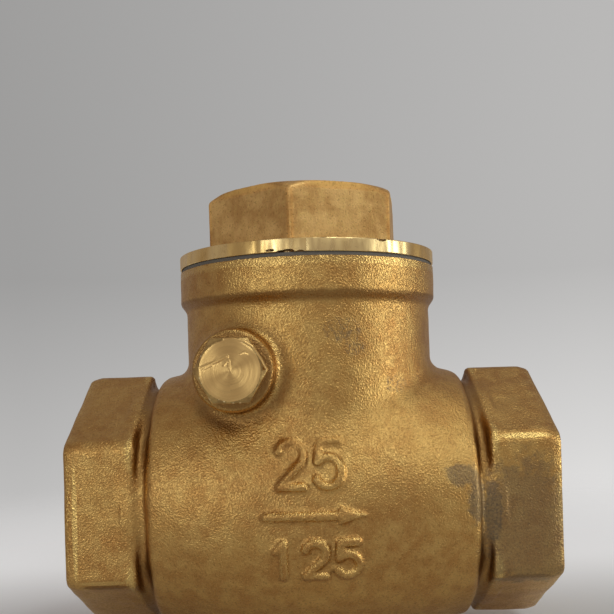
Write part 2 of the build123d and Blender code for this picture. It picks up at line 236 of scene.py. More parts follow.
RETAINER_R = 7.2
RETAINER_FRONT = -1.15
WASHER_FRONT = 8.55
WASHER_THICK = 1.0
WASHER_R = 5.0
NUT_HALF_FLATS = 4.0
NUT_CHAMFER_SLOPE = 0.6
NUT_FRONT_R = 4.2          # where the chamfers meet the nut's faces
NUT_BACK_R = 3.7
NUT_REACH = 5.2            # beyond the hexagon's corners
NUT_FRONT = 9.55
NUT_BACK = 12.95
COTTER_AT = 14.4
COTTER_HOLE_R = 0.65
WIRE_R = 0.52
COTTER_ROUTE = [           # half of the wire's way: leg's tip, stem, eye
    (-4.15, 2.25), (-3.55, 0.02), (3.25, 0.02), (3.6, 0.55), (4.15, 0.72), (4.7, 0.5), (4.9, 0.0),
]
PIN_ALONG = (PIN_X - SEAT_X) * math.cos(SEAT_TILT) + PIN_Z * math.sin(SEAT_TILT)
PIN_UP = PIN_Z * math.cos(SEAT_TILT) - (PIN_X - SEAT_X) * math.sin(SEAT_TILT)


# ---------------------------------------------------------------- places
class Place:
    """A local frame: an origin, an axis and a side direction, all in the casting's frame."""

    def __init__(self, origin, axis, side):
        self.origin = np.array(origin, float)
        self.axis = np.array(axis, float)
        self.side = np.array(side, float)
        self.up = np.cross(self.axis, self.side)

    def put(self, side, up, along):
        """Points from their distances to the side, up and along the axis."""
        side, up, along = (np.asarray(v, float)[..., None] for v in (side, up, along))
        return self.origin + side * self.side + up * self.up + along * self.axis

    def read(self, x, y, z):
        """Distances to the side, up and along the axis of points in the casting's frame."""
        rel = [x - self.origin[0], y - self.origin[1], z - self.origin[2]]
        return [sum(r * d for r, d in zip(rel, way)) for way in (self.side, self.up, self.axis)]


PIPE = Place((0, 0, 0), (1, 0, 0), (0, 1, 0))
NECK = Place((0, 0, 0), (0, 0, 1), (1, 0, 0))
PIN = Place((PIN_X, 0, PIN_Z), (0, -1, 0), (1, 0, 0))
DISC = Place((SEAT_X, 0, 0), (math.cos(SEAT_TILT), 0, math.sin(SEAT_TILT)), (0, 1, 0))


# ---------------------------------------------------------------- fields
def soft_or(a, b, k):
    """Union with a soft blend of width k."""
    h = np.maximum(k - np.abs(a - b), 0) / k
    return np.minimum(a, b) - h * h * k / 4


def round_or(a, b, r):
    """Union with a round fillet of radius r."""
    return np.maximum(r, np.minimum(a, b)) - np.hypot(np.maximum(r - a, 0), np.maximum(r - b, 0))


def round_and(a, b, r):
    """Intersection with an edge rounded to radius r."""
    return np.minimum(-r, np.maximum(a, b)) + np.hypot(np.maximum(r + a, 0), np.maximum(r + b, 0))


def hexagon_bar(side, up, half_flats, turn, edge):
    """A hexagonal bar's cross section, its first corner turned from the side direction."""
    bar = None
    for k in range(3):
        a = turn + math.radians(30 + 60 * k)
        flat = np.abs(side * math.cos(a) + up * math.sin(a)) - half_flats
        bar = flat if bar is None else round_and(bar, flat, edge)
    return bar


def waves(points, seed, length, count=14):
    """Smooth unevenness between about -1 and 1, with bumps about length millimetres long."""
    dice = np.random.default_rng(seed)
    total = 0
    for _ in range(count):
        way = dice.normal(size=3)
        way *= 2 * math.pi / (length * dice.uniform(0.8, 1.7) * np.linalg.norm(way))
        total = total + np.sin(way[0] * points[0] + way[1] * points[1] + way[2] * points[2]
                               + dice.uniform(0, 2 * math.pi))
    return total / math.sqrt(count)


def bulge(x):
    """The barrel's outside radius along the pipe's axis."""
    return BARREL_R - (BARREL_R - BARREL_END_R) * (x / BARREL_HALF) ** 2


def barrel_field(x, y, z):
    """The bulging barrel between the hexagons."""
    return round_and(np.hypot(y, z) - bulge(x), np.abs(x) - BARREL_HALF, BARREL_ROUND)


def hexagon_field(x, y, z):
    """Both end hexagons, with two flats facing front and back."""
    over = np.abs(x) - (HALF_LENGTH - HEX_BEVEL_FROM)
    half = HEX_HALF_FLATS - HEX_BEVEL * 0.5 * (over + np.hypot(over, HEX_BEVEL_SOFT))
    bar = hexagon_bar(y, z, half, -math.radians(30), HEX_CORNER_R)
    bar = round_and(bar, np.abs(x) - HALF_LENGTH - STOCK, HEX_RIM_R)
    return round_and(bar, HEX_INNER - np.abs(x), HEX_INNER_R)


def neck_field(x, y, z):
    """The upright neck with the collar round its top."""
    rho = np.hypot(x, y)
    neck = np.maximum(rho - NECK_R, -z)
    under = (COLLAR_SLOPE * (rho - NECK_R) - (z - COLLAR_FOOT_Z)) / math.hypot(COLLAR_SLOPE, 1)
    collar = round_and(rho - COLLAR_R, under, COLLAR_EDGE_R)
    return np.maximum(round_or(neck, collar, COLLAR_FILLET_R), z - COLLAR_TOP - STOCK)


def boss_field(x, y, z):
    """The plug's boss in front and the smaller blind one behind."""
    rho = np.hypot(x - PIN_X, z - PIN_Z)
    front = round_and(rho - BOSS_R, -y - BOSS_FACE - STOCK, BOSS_EDGE_R)
    back = round_and(rho - BACK_BOSS_R, y - BACK_BOSS_FACE, BACK_BOSS_EDGE_R)
    return np.maximum(front, y + BOSS_ROOT), np.maximum(back, BOSS_ROOT - y)


def polyline_distance(px, pz, line):
    """The distance of each point from a polyline in the x-z plane."""
    best = np.full(px.shape, 1e3)
    for (ax, az), (bx, bz) in zip(line, line[1:]):
        dx, dz = bx - ax, bz - az
        t = np.clip(((px - ax) * dx + (pz - az) * dz) / (dx * dx + dz * dz), 0, 1)
        best = np.minimum(best, np.hypot(px - ax - t * dx, pz - az - t * dz))
    return best


def arc(cx, cz, rx, rz, start, end, steps=12):
    """Points along an elliptic arc, angles in degrees from +x towards +z."""
    angles = np.radians(np.linspace(start, end, steps))
    return [(cx + rx * math.cos(a), cz + rz * math.sin(a)) for a in angles]


def numeral(digit, w, h):
    """The centre line of a plain raised numeral, from its lower left corner."""
    if digit == "1":
        return [(0.18 * w, 0.76 * h), (0.55 * w, h), (0.55 * w, 0)]
    if digit == "2":
        return arc(w / 2, 0.70 * h, w / 2, 0.30 * h, 165, -35) + [(0.02 * w, 0), (w, 0)]
    head = [(0.92 * w, h), (0.14 * w, h), (0.05 * w, 0.54 * h)]
    return head + arc(0.47 * w, 0.325 * h, 0.53 * w, 0.325 * h, 135, -150, 16)


def marks():
    """Centre lines and half widths of everything raised on the barrel's front."""
    lines = []
    for text, left, base, wide, high, gap in NUMERALS:
        for place, digit in enumerate(text):
            start = left + place * (wide + gap)
            lines.append(([(start + u, base + v) for u, v in numeral(digit, wide, high)], MARK_STROKE))
    lines.append(([(ARROW_TAIL, 0.0), (ARROW_SHAFT_END, 0.0)], ARROW_STROKE))
    return lines


def arrow_head_distance(px, pz):
    """Signed distance of the flow arrow's slim head."""
    length = ARROW_TIP - ARROW_ROOT
    slope = ((px - ARROW_TIP) * ARROW_HALF + np.abs(pz) * length) / math.hypot(length, ARROW_HALF)
    return round_and(slope, ARROW_ROOT - px, 0.3)


def marks_field(x, y, z):
    """The raised flow arrow and numerals on the front."""
    flat = arrow_head_distance(x, z)
    for line, half in marks():
        flat = np.minimum(flat, polyline_distance(x, z, line) - half)
    above = np.hypot(y, z) - bulge(x)
    side = MARK_DRAFT[0] * flat + MARK_DRAFT[1] * above
    return round_and(side, above - MARK_HEIGHT, 0.3)


def edge_cuts(x, y, z):
    """Grooves along the lower edges of the hexagons' front flats, where the mould's halves met."""
    cuts = []
    for middle, half, out, radius in HEX_EDGE_CUTS:
        bead = np.hypot(y + HEX_HALF_FLATS + out, z - HEX_EDGE_Z) - radius
        cuts.append(np.maximum(bead, np.abs(x - middle) - half))
    return np.minimum(*cuts)


def skin_field(x, y, z):
    """The casting's outside, before machining."""
    waist = np.maximum(np.hypot(y, z) - WAIST_R, np.abs(x) - HEX_INNER - 2)
    body = round_or(barrel_field(x, y, z), waist, WAIST_FILLET_R)
    body = round_or(body, neck_field(x, y, z), SADDLE_R)
    body = round_or(body, hexagon_field(x, y, z), 0.8)
    front, back = boss_field(x, y, z)
    body = soft_or(soft_or(body, front, BOSS_BLEND), back, BACK_BOSS_BLEND)
    near = (y < -MARK_ZONE[0]) & (np.abs(x) < MARK_ZONE[1]) & (np.abs(z) < MARK_ZONE[2])
    body[near] = round_or(body[near], marks_field(x[near], y[near], z[near]), 0.3)
    body = -round_or(-body, edge_cuts(x, y, z), 0.25)
    uneven = 0.055 * waves((x, y, z), 11, 9.0) + 0.022 * waves((x, y, z), 12, 3.2)
    seam = 0.10 * np.exp(-((y - 0.15) / 0.4) ** 2)
    return body - uneven - seam


def ear_field(x, y, z):
    """The two lugs that carry the hinge pin inside the neck."""
    lug = np.hypot(x - PIN_X, z - PIN_Z) - EAR_R
    web = np.maximum(np.abs(z - PIN_Z) - EAR_R, x - PIN_X)
    return round_and(np.minimum(lug, web), EAR_GAP - np.abs(y), 0.5)


def inner_field(x, y, z):
    """The cored space in the casting: chamber and neck, without the machined bores."""
    chamber = round_and(np.hypot(y, z) - bulge(x) + WALL, x - CHAMBER_END, CHAMBER_CORNER_R)
    neck = np.maximum(np.hypot(x, y) - NECK_BORE_R, np.maximum(-z, z - COLLAR_TOP - 2))
    _, up, along = DISC.read(x, y, z)
    space = round_and(soft_or(chamber, neck, CORE_BLEND), -SEAT_HEIGHT - along, 1.0)
    seat = round_and(np.hypot(y, up) - SEAT_OUT_R, along - STOCK, 0.3)
    space = round_and(space, -np.minimum(seat, ear_field(x, y, z)), 0.4)
    return space - 0.05 * waves((x, y, z), 21, 5.0)


# ---------------------------------------------------------------- meshes
def surface_net(field, low, high, step):
    """Vertices and quads of the field's zero surface, each vertex drawn onto the surface."""
    axes = [np.arange(a - 1.5 * step, b + 2.5 * step, step) for a, b in zip(low, high)]
    value = field(*np.meshgrid(*axes, indexing="ij"))
    shape = [n - 1 for n in value.shape]
    corners = {
        at: value[tuple(slice(s, s + n) for s, n in zip(at, shape))] for at in np.ndindex(2, 2, 2)
    }
    count = np.zeros(shape)
    total = np.zeros(shape + [3])
    for axis, start in [(axis, at) for axis in range(3) for at in corners if at[axis] == 0]:
        end = tuple(1 if i == axis else s for i, s in enumerate(start))
        a, b = corners[start], corners[end]
        cross = (a < 0) != (b < 0)
        t = np.where(cross, a / np.where(cross, a - b, 1), 0)
        count += cross
        for i in range(3):
            total[..., i] += cross * (start[i] + (t if i == axis else 0))
    used = count > 0
    index = np.full(shape, -1)
    index[used] = np.arange(used.sum())
    points = np.argwhere(used) + total[used] / count[used][:, None]
    points = np.array([a[0] for a in axes]) + points * step
    for _ in range(4):
        points = drawn_in(field, points, 0.4 * step)
    return points, net_quads(value, shape, index)


def net_quads(value, shape, index):
    """The net's faces: one quad across every grid edge that pierces the surface."""
    quads = []
    ways = np.eye(3, dtype=int)
    for axis in range(3):
        u, v = ways[(axis + 1) % 3], ways[(axis + 2) % 3]
        a, b = (
            value[tuple(slice(s + k * w, n + k * w) for s, w, n in zip(u + v, ways[axis], shape))]
            for k in (0, 1)
        )
        for mask, order in (((a < 0) & (b >= 0), 1), ((a >= 0) & (b < 0), -1)):
            where = np.argwhere(mask) + u + v
            quad = [index[tuple((where - back).T)] for back in (0 * u, u, u + v, v)]
            quads.append(np.stack(quad[::order], 1))
    return np.concatenate(quads)


def drawn_in(field, points, reach, eps=0.02):
    """One Newton step of every point towards the field's zero surface."""
    slope = [field(*(points + e).T) - field(*(points - e).T) for e in eps * np.eye(3)]
    slope = np.stack(slope, 1) / (2 * eps)
    size = np.maximum((slope * slope).sum(1), 0.1)
    move = -slope * (field(*points.T) / size)[:, None]
    far = np.maximum(np.linalg.norm(move, axis=1) / reach, 1)
    return points + move / far[:, None]


def linked(name, data):
    """A new object in the scene."""
    obj = bpy.data.objects.new(name, data)
    bpy.context.scene.collection.objects.link(obj)
    return obj


def make_object(name, points, faces, smooth=True):
    """A mesh object from points in millimetres in the casting's frame."""
    mesh = bpy.data.meshes.new(name)
    placed = (np.asarray(points) + np.array([MID_X, 0, 0])) * MM
    mesh.from_pydata(placed.tolist(), [], [list(map(int, f)) for f in faces])
    mesh.update()
    if smooth:
        mesh.polygons.foreach_set("use_smooth", [True] * len(mesh.polygons))
    return linked(name, mesh)


def rounded(profile, radius, steps=4):
    """A profile with each of its inner corners rounded."""
    out = [profile[0]]
    for before, corner, after in zip(profile, profile[1:], profile[2:]):
        corner = np.array(corner, float)
        ways = [np.array(p, float) - corner for p in (before, after)]
        sizes = [np.linalg.norm(w) for w in ways]
        reach = min(radius, *[0.45 * s for s in sizes])
        a, b = (corner + w / s * reach for w, s in zip(ways, sizes))
        for i in range(steps + 1):
            t = i / steps
            out.append(tuple((1 - t) ** 2 * a + 2 * t * (1 - t) * corner + t * t * b))
    out.append(profile[-1])
    return out


def sleeve(name, rings):
    """A closed mesh object through rings of points: between two poles, or back to the first ring."""
    starts = np.cumsum([0] + [len(ring) for ring in rings])
    indices = [range(start, start + len(ring)) for start, ring in zip(starts, rings)]
    if len(rings[0]) > 1:
        indices.append(indices[0])
    faces = []
    for low, high in zip(indices, indices[1:]):
        count = max(len(low), len(high))
        for i in range(count):
            j = (i + 1) % count
            if len(low) == 1:
                faces.append((low[0], high[i], high[j]))
            elif len(high) == 1:
                faces.append((low[i], high[0], low[j]))
            else:
                faces.append((low[i], high[i], high[j], low[j]))
    return facing_out(make_object(name, np.concatenate(rings), faces))


def turned(name, profile, place, segments=128):
    """A closed turned piece from (radius, height) points. Points of no radius are poles."""
    angles = np.linspace(0, 2 * math.pi, segments, endpoint=False)
    rings = []
    for r, h in profile:
        way = angles if r > 1e-6 else angles[:1]
        rings.append(place.put(r * np.cos(way), r * np.sin(way), np.full(len(way), h)))
    return sleeve(name, rings)


def facing_out(obj):
    """Turns the faces outwards, if they all point in."""
    bm = bmesh.new()
    bm.from_mesh(obj.data)
    bmesh.ops.recalc_face_normals(bm, faces=bm.faces)
    if bm.calc_volume(signed=True) < 0:
        bmesh.ops.reverse_faces(bm, faces=bm.faces)
    bm.to_mesh(obj.data)
    bm.free()
    return obj


def threaded(name, place, start, end, minor, major, pitch, run_out=0.0, mouth=None, segments=96):
    """A solid screw about the place's axis, to cut with or to add. mouth is a countersink's
    (radius, depth)."""
    span = abs(end - start)
    way = math.copysign(1, end - start)
    rows = np.linspace(0, span, int(span / pitch * 12) + 1)
    if mouth:
        rows = np.concatenate([[-1.0, -0.001], rows])
    s, a = np.meshgrid(rows, np.linspace(0, 2 * math.pi, segments, endpoint=False), indexing="ij")
    ridge = 0.5 + 0.5 * np.cos(2 * math.pi * way * s / pitch - a)
    fade = np.clip((span - run_out - s) / (0.8 * pitch), 0, 1)
    radius = minor + (major - minor) * ridge * fade
    if mouth:
        cone = mouth[0] - np.maximum(s, 0) * (mouth[0] - minor) / mouth[1]
        radius = np.where(s < 0, mouth[0], np.maximum(radius, cone))
    poles = [place.put([0.0], [0.0], [h]) for h in (start + way * rows[0], end)]
    rim = place.put(radius * np.cos(a), radius * np.sin(a), start + way * s)
    return sleeve(name, [poles[0], *rim, poles[1]])


def net_object(name, field, low, high, step):
    """A mesh object from a field."""
    return facing_out(make_object(name, *surface_net(field, low, high, step)))


def painted(obj, *materials):
    """Gives the object these materials, in this order."""
    obj.data.materials.clear()
    for material in materials:
        obj.data.materials.append(material)
    return obj


def applied(obj):
    """Makes the object's modifiers part of its mesh."""
    bpy.context.view_layer.update()
    seen = obj.evaluated_get(bpy.context.evaluated_depsgraph_get())
    mesh = bpy.data.meshes.new_from_object(seen)
    mesh.name = obj.name
    obj.modifiers.clear()
    obj.data = mesh


def combined(target, tool, operation="DIFFERENCE"):
    """Applies one boolean to the target, carrying the tool's materials over, and drops the tool."""
    change = target.modifiers.new("combine", "BOOLEAN")
    change.operation = operation
    change.solver = "MANIFOLD"
    change.material_mode = "TRANSFER"
    change.object = tool
    applied(target)
    bpy.data.objects.remove(tool)
    return target


def crisp(obj, angle=32, soft=()):
    """Marks sharp edges: between materials, and by angle outside the materials named soft."""
    names = [m.name for m in obj.data.materials]
    bm = bmesh.new()
    bm.from_mesh(obj.data)
    for edge in bm.edges:
        edge.smooth = True
        if len(edge.link_faces) == 2:
            a, b = (names[f.material_index] for f in edge.link_faces)
            bent = edge.calc_face_angle(0) > math.radians(angle)
            edge.smooth = a == b and (a in soft or not bent)
    for face in bm.faces:
        face.smooth = True
    bm.to_mesh(obj.data)
    bm.free()


def shade_form(obj, field, *reaches):
    """Stores how hollow and how edge-like the form is at each vertex, from the field around it. The
    materials paint shade into the hollows and brighten the edges.
    """
    mesh = obj.data
    count = len(mesh.vertices)
    flat = np.empty(3 * count, dtype=np.float32)
    mesh.vertices.foreach_get("co", flat)
    points = flat.reshape(-1, 3).astype(float) / MM - np.array([MID_X, 0, 0])
    mesh.vertex_normals.foreach_get("vector", flat)
    normals = flat.reshape(-1, 3).astype(float)
    for name, side in (("hollow", 1), ("edge", -1)):
        amount = 0.0
        for reach in reaches:
            away = field(*(points + side * reach * normals).T)
            amount = np.maximum(amount, 1 - side * away / reach)
        layer = mesh.attributes.new(name, "FLOAT", "POINT")
        layer.data.foreach_set("value", np.clip(amount, 0, 1).astype(np.float32))


# ---------------------------------------------------------------- materials
class Nodes:
    """A node tree under construction: small helpers that add one node and return its output."""

    def __init__(self, tree):
        self.tree = tree

    def node(self, kind, values=None, **settings):
        """Adds a node. Each value is a number, a tuple or another node's output."""
        made = self.tree.nodes.new("ShaderNode" + kind)
        for key, value in settings.items():
            setattr(made, key, value)
        for key, value in (values or {}).items():
            self.feed(made.inputs[key], value)
        return made

    def feed(self, socket, value):
        """Sets or links one input."""
        if isinstance(value, bpy.types.NodeSocket):
            self.tree.links.new(value, socket)
        else:
            socket.default_value = value

    def calc(self, operation, a, b=0.0, c=0.0):
        """A Math node's result."""
        return self.node("Math", {0: a, 1: b, 2: c}, operation=operation).outputs[0]

    def most(self, *values):
        """The greatest of some values."""
        top = values[0]
        for value in values[1:]:
            top = self.calc("MAXIMUM", top, value)
        return top

    def vector(self, operation, a, b=(0, 0, 0)):
        """A Vector Math node's vector."""
        return self.node("VectorMath", {0: a, 1: b}, operation=operation).outputs["Vector"]

    def number(self, operation, a, b=(0, 0, 0)):
        """A Vector Math node's number."""
        return self.node("VectorMath", {0: a, 1: b}, operation=operation).outputs["Value"]

    def split(self, vector):
        """A vector's three numbers."""
        return self.node("SeparateXYZ", {0: vector}).outputs[:]

    def joined(self, x, y=0.0, z=0.0):
        """A vector from three numbers."""
        return self.node("CombineXYZ", {0: x, 1: y, 2: z}).outputs[0]

    def ramp(self, value, low, high, out_low=0.0, out_high=1.0, smooth=True):
        """Maps one range onto another, clamped."""
        kind = "SMOOTHSTEP" if smooth else "LINEAR"
        values = dict(enumerate((value, low, high, out_low, out_high)))
        return self.node("MapRange", values, interpolation_type=kind).outputs["Result"]

    def band(self, value, rise, fall):
        """1 between two fades, each given by its start and end, and 0 outside."""
        return self.calc("MULTIPLY", self.ramp(value, *rise), self.ramp(value, *fall, 1.0, 0.0))

    def mix(self, amount, a, b):
        """Mixes two colours."""
        return self.node("Mix", {0: amount, 6: a, 7: b}, data_type="RGBA").outputs[2]


class Paint(Nodes):
    """A material under construction, with coordinates in millimetres in the casting's frame."""

    def __init__(self, name):
        self.material = bpy.data.materials.new(name)
        self.material.use_nodes = True
        super().__init__(self.material.node_tree)
        self.shader = self.tree.nodes["Principled BSDF"]

    def place(self):
        """The surface point."""
        at = self.node("TexCoord").outputs["Object"]
        scaled = self.node("VectorMath", {0: at, "Scale": 1 / MM}, operation="SCALE").outputs[0]
        return self.vector("SUBTRACT", scaled, (MID_X, 0, 0))

    def form(self, name):
        """One of shade_form's layers."""
        return self.node("Attribute", attribute_name=name).outputs["Fac"]

    def noise(self, at, scale, detail=2.0, rough=0.5, warp=0.0):
        """Noise between 0 and 1 with this many bumps a millimetre."""
        values = {"Vector": at, "Scale": scale, "Detail": detail, "Roughness": rough}
        return self.node("TexNoise", {**values, "Distortion": warp}).outputs["Fac"]

    def frayed(self, value, noise, amount):
        """A value made uneven by noise, so that a ramp over it gets a ragged edge."""
        return self.calc("ADD", value, self.calc("MULTIPLY_ADD", noise, amount, -amount / 2))

    def blots(self, at, spots, noise, amount):
        """The strongest of some ragged blots of (centre, half sizes, strength)."""
        found = []
        for centre, radii, strength in spots:
            away = self.vector("DIVIDE", self.vector("SUBTRACT", at, centre), radii)
            away = self.frayed(self.number("LENGTH", away), noise, amount)
            found.append(self.ramp(away, 0.65, 1, strength, 0.0))
        return self.most(*found)

    def bump(self, *layers):
        """A normal from (height, depth in millimetres) layers, laid over each other."""
        for height, depth in layers:
            values = {"Height": height, "Strength": 1.0, "Distance": depth * MM}
            if self.shader.inputs["Normal"].is_linked:
                values["Normal"] = self.shader.inputs["Normal"].links[0].from_socket
            self.feed(self.shader.inputs["Normal"], self.node("Bump", values).outputs["Normal"])

    def plain(self, colour, roughness):
        """Feeds the shader's colour and roughness."""
        self.feed(self.shader.inputs["Base Color"], colour)
        self.feed(self.shader.inputs["Roughness"], roughness)
        return self.material

    def metal(self, colour, roughness):
        """Feeds the shader as bare metal."""
        self.shader.inputs["Metallic"].default_value = 1.0
        return self.plain(colour, roughness)


BRASS = (0.63, 0.365, 0.112, 1)
BRASS_BRIGHT = (0.86, 0.60, 0.21, 1)
BRASS_DARK = (0.27, 0.138, 0.045, 1)
BRASS_RED = (0.52, 0.27, 0.082, 1)
TARNISH_AND_SHADE = (0.175, 0.138, 0.095, 1)
STAINS_AND_SHADE = (    # centre, half sizes, strength
    ((23.2, -20.8, 5.2), (3.4, 4.0, 2.2), 0.75),
    ((25.4, -19.5, 1.2), (2.2, 5.0, 4.6), 0.80),
    ((28.3, -19.6, -1.0), (1.9, 4.0, 6.2), 0.9),
    ((30.2, -19.4, -3.0), (2.2, 2.5, 3.2), 0.45),
    ((37.1, -19.4, 1.8), (0.9, 2.5, 2.6), 0.5),
    ((34.8, -19.4, -7.0), (4.5, 2.5, 2.2), 0.35),
    # the last one darkens the right hexagon's whole front flat: partly a stain, partly painted shade
    ((33.5, -19.0, -3.5), (9.0, 6.0, 13.5), 0.62),
)
GROOVE_SHADOW = (      # painted shadow in the grooves under the hexagons' front flats
    ((-33.4, -19.0, -11.35), (4.7, 2.0, 0.50), 0.9),
    ((34.0, -19.0, -11.35), (4.4, 2.0, 0.45), 0.6),
)
WORN_EDGE_HIGHLIGHTS = (       # edges rubbed bright, with painted highlights along them
    ((-37.7, -19.2, -1.0), (0.50, 1.0, 11.5), 0.75),
    ((-33.5, -19.0, -10.6), (4.6, 1.5, 0.40), 0.6),
    ((33.8, -18.9, 10.9), (4.6, 1.5, 0.55), 1.0),
    ((-26.0, -19.0, 7.5), (0.55, 4.0, 7.0), 0.9),
)
SCUFFS = (          # scraped grey
    ((5.2, -20.8, 28.2), (3.6, 3.0, 2.6), 0.8),
    ((7.2, -20.2, 25.6), (2.2, 3.0, 1.6), 0.9),
    ((13.9, -16.8, 19.6), (2.6, 3.0, 1.7), 0.8),
)


def painted_crevice_shade(p, at, middle):
    """Painted shade where the form is sunk: on the boss round the plug, under the collar, beside the
    hexagons and in the grooves under their front flats.
    """
    x, y, z = p.split(at)
    offset = p.vector("SUBTRACT", at, tuple(PIN.origin))
    from_pin = p.number("LENGTH", p.vector("CROSS_PRODUCT", tuple(PIN.axis), offset))
    boss = p.ramp(p.frayed(from_pin, middle, -0.8), BOSS_R - 0.8, BOSS_R + 0.2, 1.0, 0.0)
    boss = p.calc("MULTIPLY", boss, p.ramp(y, 0.3 - BOSS_FACE, 1.3 - BOSS_FACE, 1.0, 0.0))
    foot = p.calc("SUBTRACT", p.frayed(z, middle, 0.6), COLLAR_FOOT_Z)
    collar = p.band(foot, (-1.1, -0.1), (0.7, 1.3))
    beside = ((BARREL_HALF - 0.5, BARREL_HALF + 0.3), (HEX_INNER + 0.1, HEX_INNER + 0.7))
    groove = p.band(p.calc("ABSOLUTE", x), *beside)
    pocket = p.ramp(p.calc("ABSOLUTE", p.calc("ADD", z, 2.5)), 5.5, 10.5, 0.1, 0.8)
    return p.most(boss, p.calc("MULTIPLY", collar, 0.9), p.calc("MULTIPLY", groove, pocket),
                  p.blots(at, GROOVE_SHADOW, middle, 0.8))


def cast_metal(name, grain=1.0, stained=True):
    """Bead-blasted cast brass: peened grain with sparkles partly painted as bright specks, painted
    brown shade in the hollows, worn edges partly painted as highlights, and stains, one partly painted
    shade.
    """
    p = Paint(name)
    at = p.place()
    broad = p.noise(at, 0.06, 3, 0.55)
    middle = p.noise(at, 0.40, 3, 0.6)
    grit = p.noise(at, 2.8 * grain, 2, 0.70)
    sparkle = p.noise(at, 6.5 * grain, 1, 0.5)
    peen = p.node("TexVoronoi", {"Vector": at, "Scale": 3.3 * grain}).outputs["Distance"]
    crevice_shade = painted_crevice_shade(p, at, middle)
    # painted shade: hollows and crevices are darkened in the colour, towards BRASS_DARK
    hollow = p.most(p.ramp(p.frayed(p.form("hollow"), middle, 0.5), 0.12, 0.62), crevice_shade)
    wear_and_highlight = p.ramp(p.frayed(p.form("edge"), grit, 0.6), 0.16, 0.46)
    wear_and_highlight = p.calc("MULTIPLY", wear_and_highlight, p.calc("SUBTRACT", 1.0, crevice_shade))
    wear_and_highlight = p.most(wear_and_highlight, p.blots(at, WORN_EDGE_HIGHLIGHTS, middle, 0.8))
    colour = p.mix(p.ramp(broad, 0.35, 0.68), BRASS_RED, BRASS)
    colour = p.mix(p.ramp(middle, 0.30, 0.75, 0.0, 0.45), colour, BRASS_BRIGHT)
    colour = p.mix(p.ramp(grit, 0.52, 0.28, 0.0, 0.48), colour, BRASS_DARK)
    # painted glints: bright sparkle specks in the colour
    colour = p.mix(p.ramp(sparkle, 0.60, 0.74, 0.0, 0.75), colour, BRASS_BRIGHT)
    colour = p.mix(p.calc("MULTIPLY", hollow, 0.82), colour, BRASS_DARK)
    # worn edges and painted highlights: edges brightened in the colour, more on the hexagons
    rubbed_and_highlight = p.ramp(p.calc("ABSOLUTE", p.split(at)[0]), HEX_INNER, HEX_INNER + 1, 0.5, 0.9)
    colour = p.mix(p.calc("MULTIPLY", wear_and_highlight, rubbed_and_highlight), colour, BRASS_BRIGHT)
    rough = p.calc("MULTIPLY_ADD", wear_and_highlight, -0.10, p.ramp(grit, 0.3, 0.7, 0.44, 0.28))
    if stained:
        ragged = p.noise(at, 0.6, 4, 0.7)
        scratched = p.noise(p.vector("MULTIPLY", at, (1.2, 1.0, 0.7)), 1.5, 4, 0.8, 1.5)
        scratched = p.ramp(scratched, 0.48, 0.58, 0.0, 0.85)
        scuff = p.calc("MULTIPLY", p.blots(at, SCUFFS, ragged, 1.2), scratched)
        stain_and_shade = p.most(p.blots(at, STAINS_AND_SHADE, ragged, 1.2), scuff)
        colour = p.mix(p.calc("MULTIPLY", stain_and_shade, p.ramp(grit, 0.25, 0.7, 1.0, 0.72)), colour, TARNISH_AND_SHADE)
        rough = p.calc("MULTIPLY_ADD", stain_and_shade, 0.12, rough)
    p.bump((p.calc("MULTIPLY_ADD", peen, 0.6, grit), 0.088), (sparkle, 0.030))
    return p.metal(colour, rough)


def turned_metal(name, place, colour=BRASS_BRIGHT, roughness=0.26, line=5.0, depth=0.012,
                 anisotropy=0.6, dirt=0.35):
    """Machined metal: fine turning lines about the place's axis, its highlight drawn across them."""
    p = Paint(name)
    at = p.place()
    rel = p.vector("SUBTRACT", at, tuple(place.origin))
    side, up, along = (
        p.number("DOT_PRODUCT", rel, tuple(way)) for way in (place.side, place.up, place.axis)
    )
    round_way = p.vector("CROSS_PRODUCT", tuple(place.axis), rel)
    angle = p.calc("MULTIPLY", p.calc("ARCTAN2", side, up), 0.08)
    swept = p.joined(p.number("LENGTH", round_way), along, angle)
    lines = p.noise(swept, line, 2, 0.6)
    coarse = p.noise(swept, line * 0.22, 1, 0.5)
    wear = p.noise(at, 0.55, 4, 0.6)
    dark = (colour[0] * 0.55, colour[1] * 0.48, colour[2] * 0.45, 1)
    tone = p.mix(p.ramp(wear, 0.42, 0.75, 0.0, dirt), colour, dark)
    tone = p.mix(p.ramp(lines, 0.35, 0.65, 0.0, 0.25), tone, dark)
    p.bump((lines, depth), (coarse, depth * 1.5))
    across = p.vector("CROSS_PRODUCT", p.node("NewGeometry").outputs["Normal"], round_way)
    p.feed(p.shader.inputs["Tangent"], p.vector("NORMALIZE", across))
    p.shader.inputs["Anisotropic"].default_value = anisotropy
    return p.metal(tone, p.ramp(wear, 0.3, 0.8, roughness, roughness + 0.14))


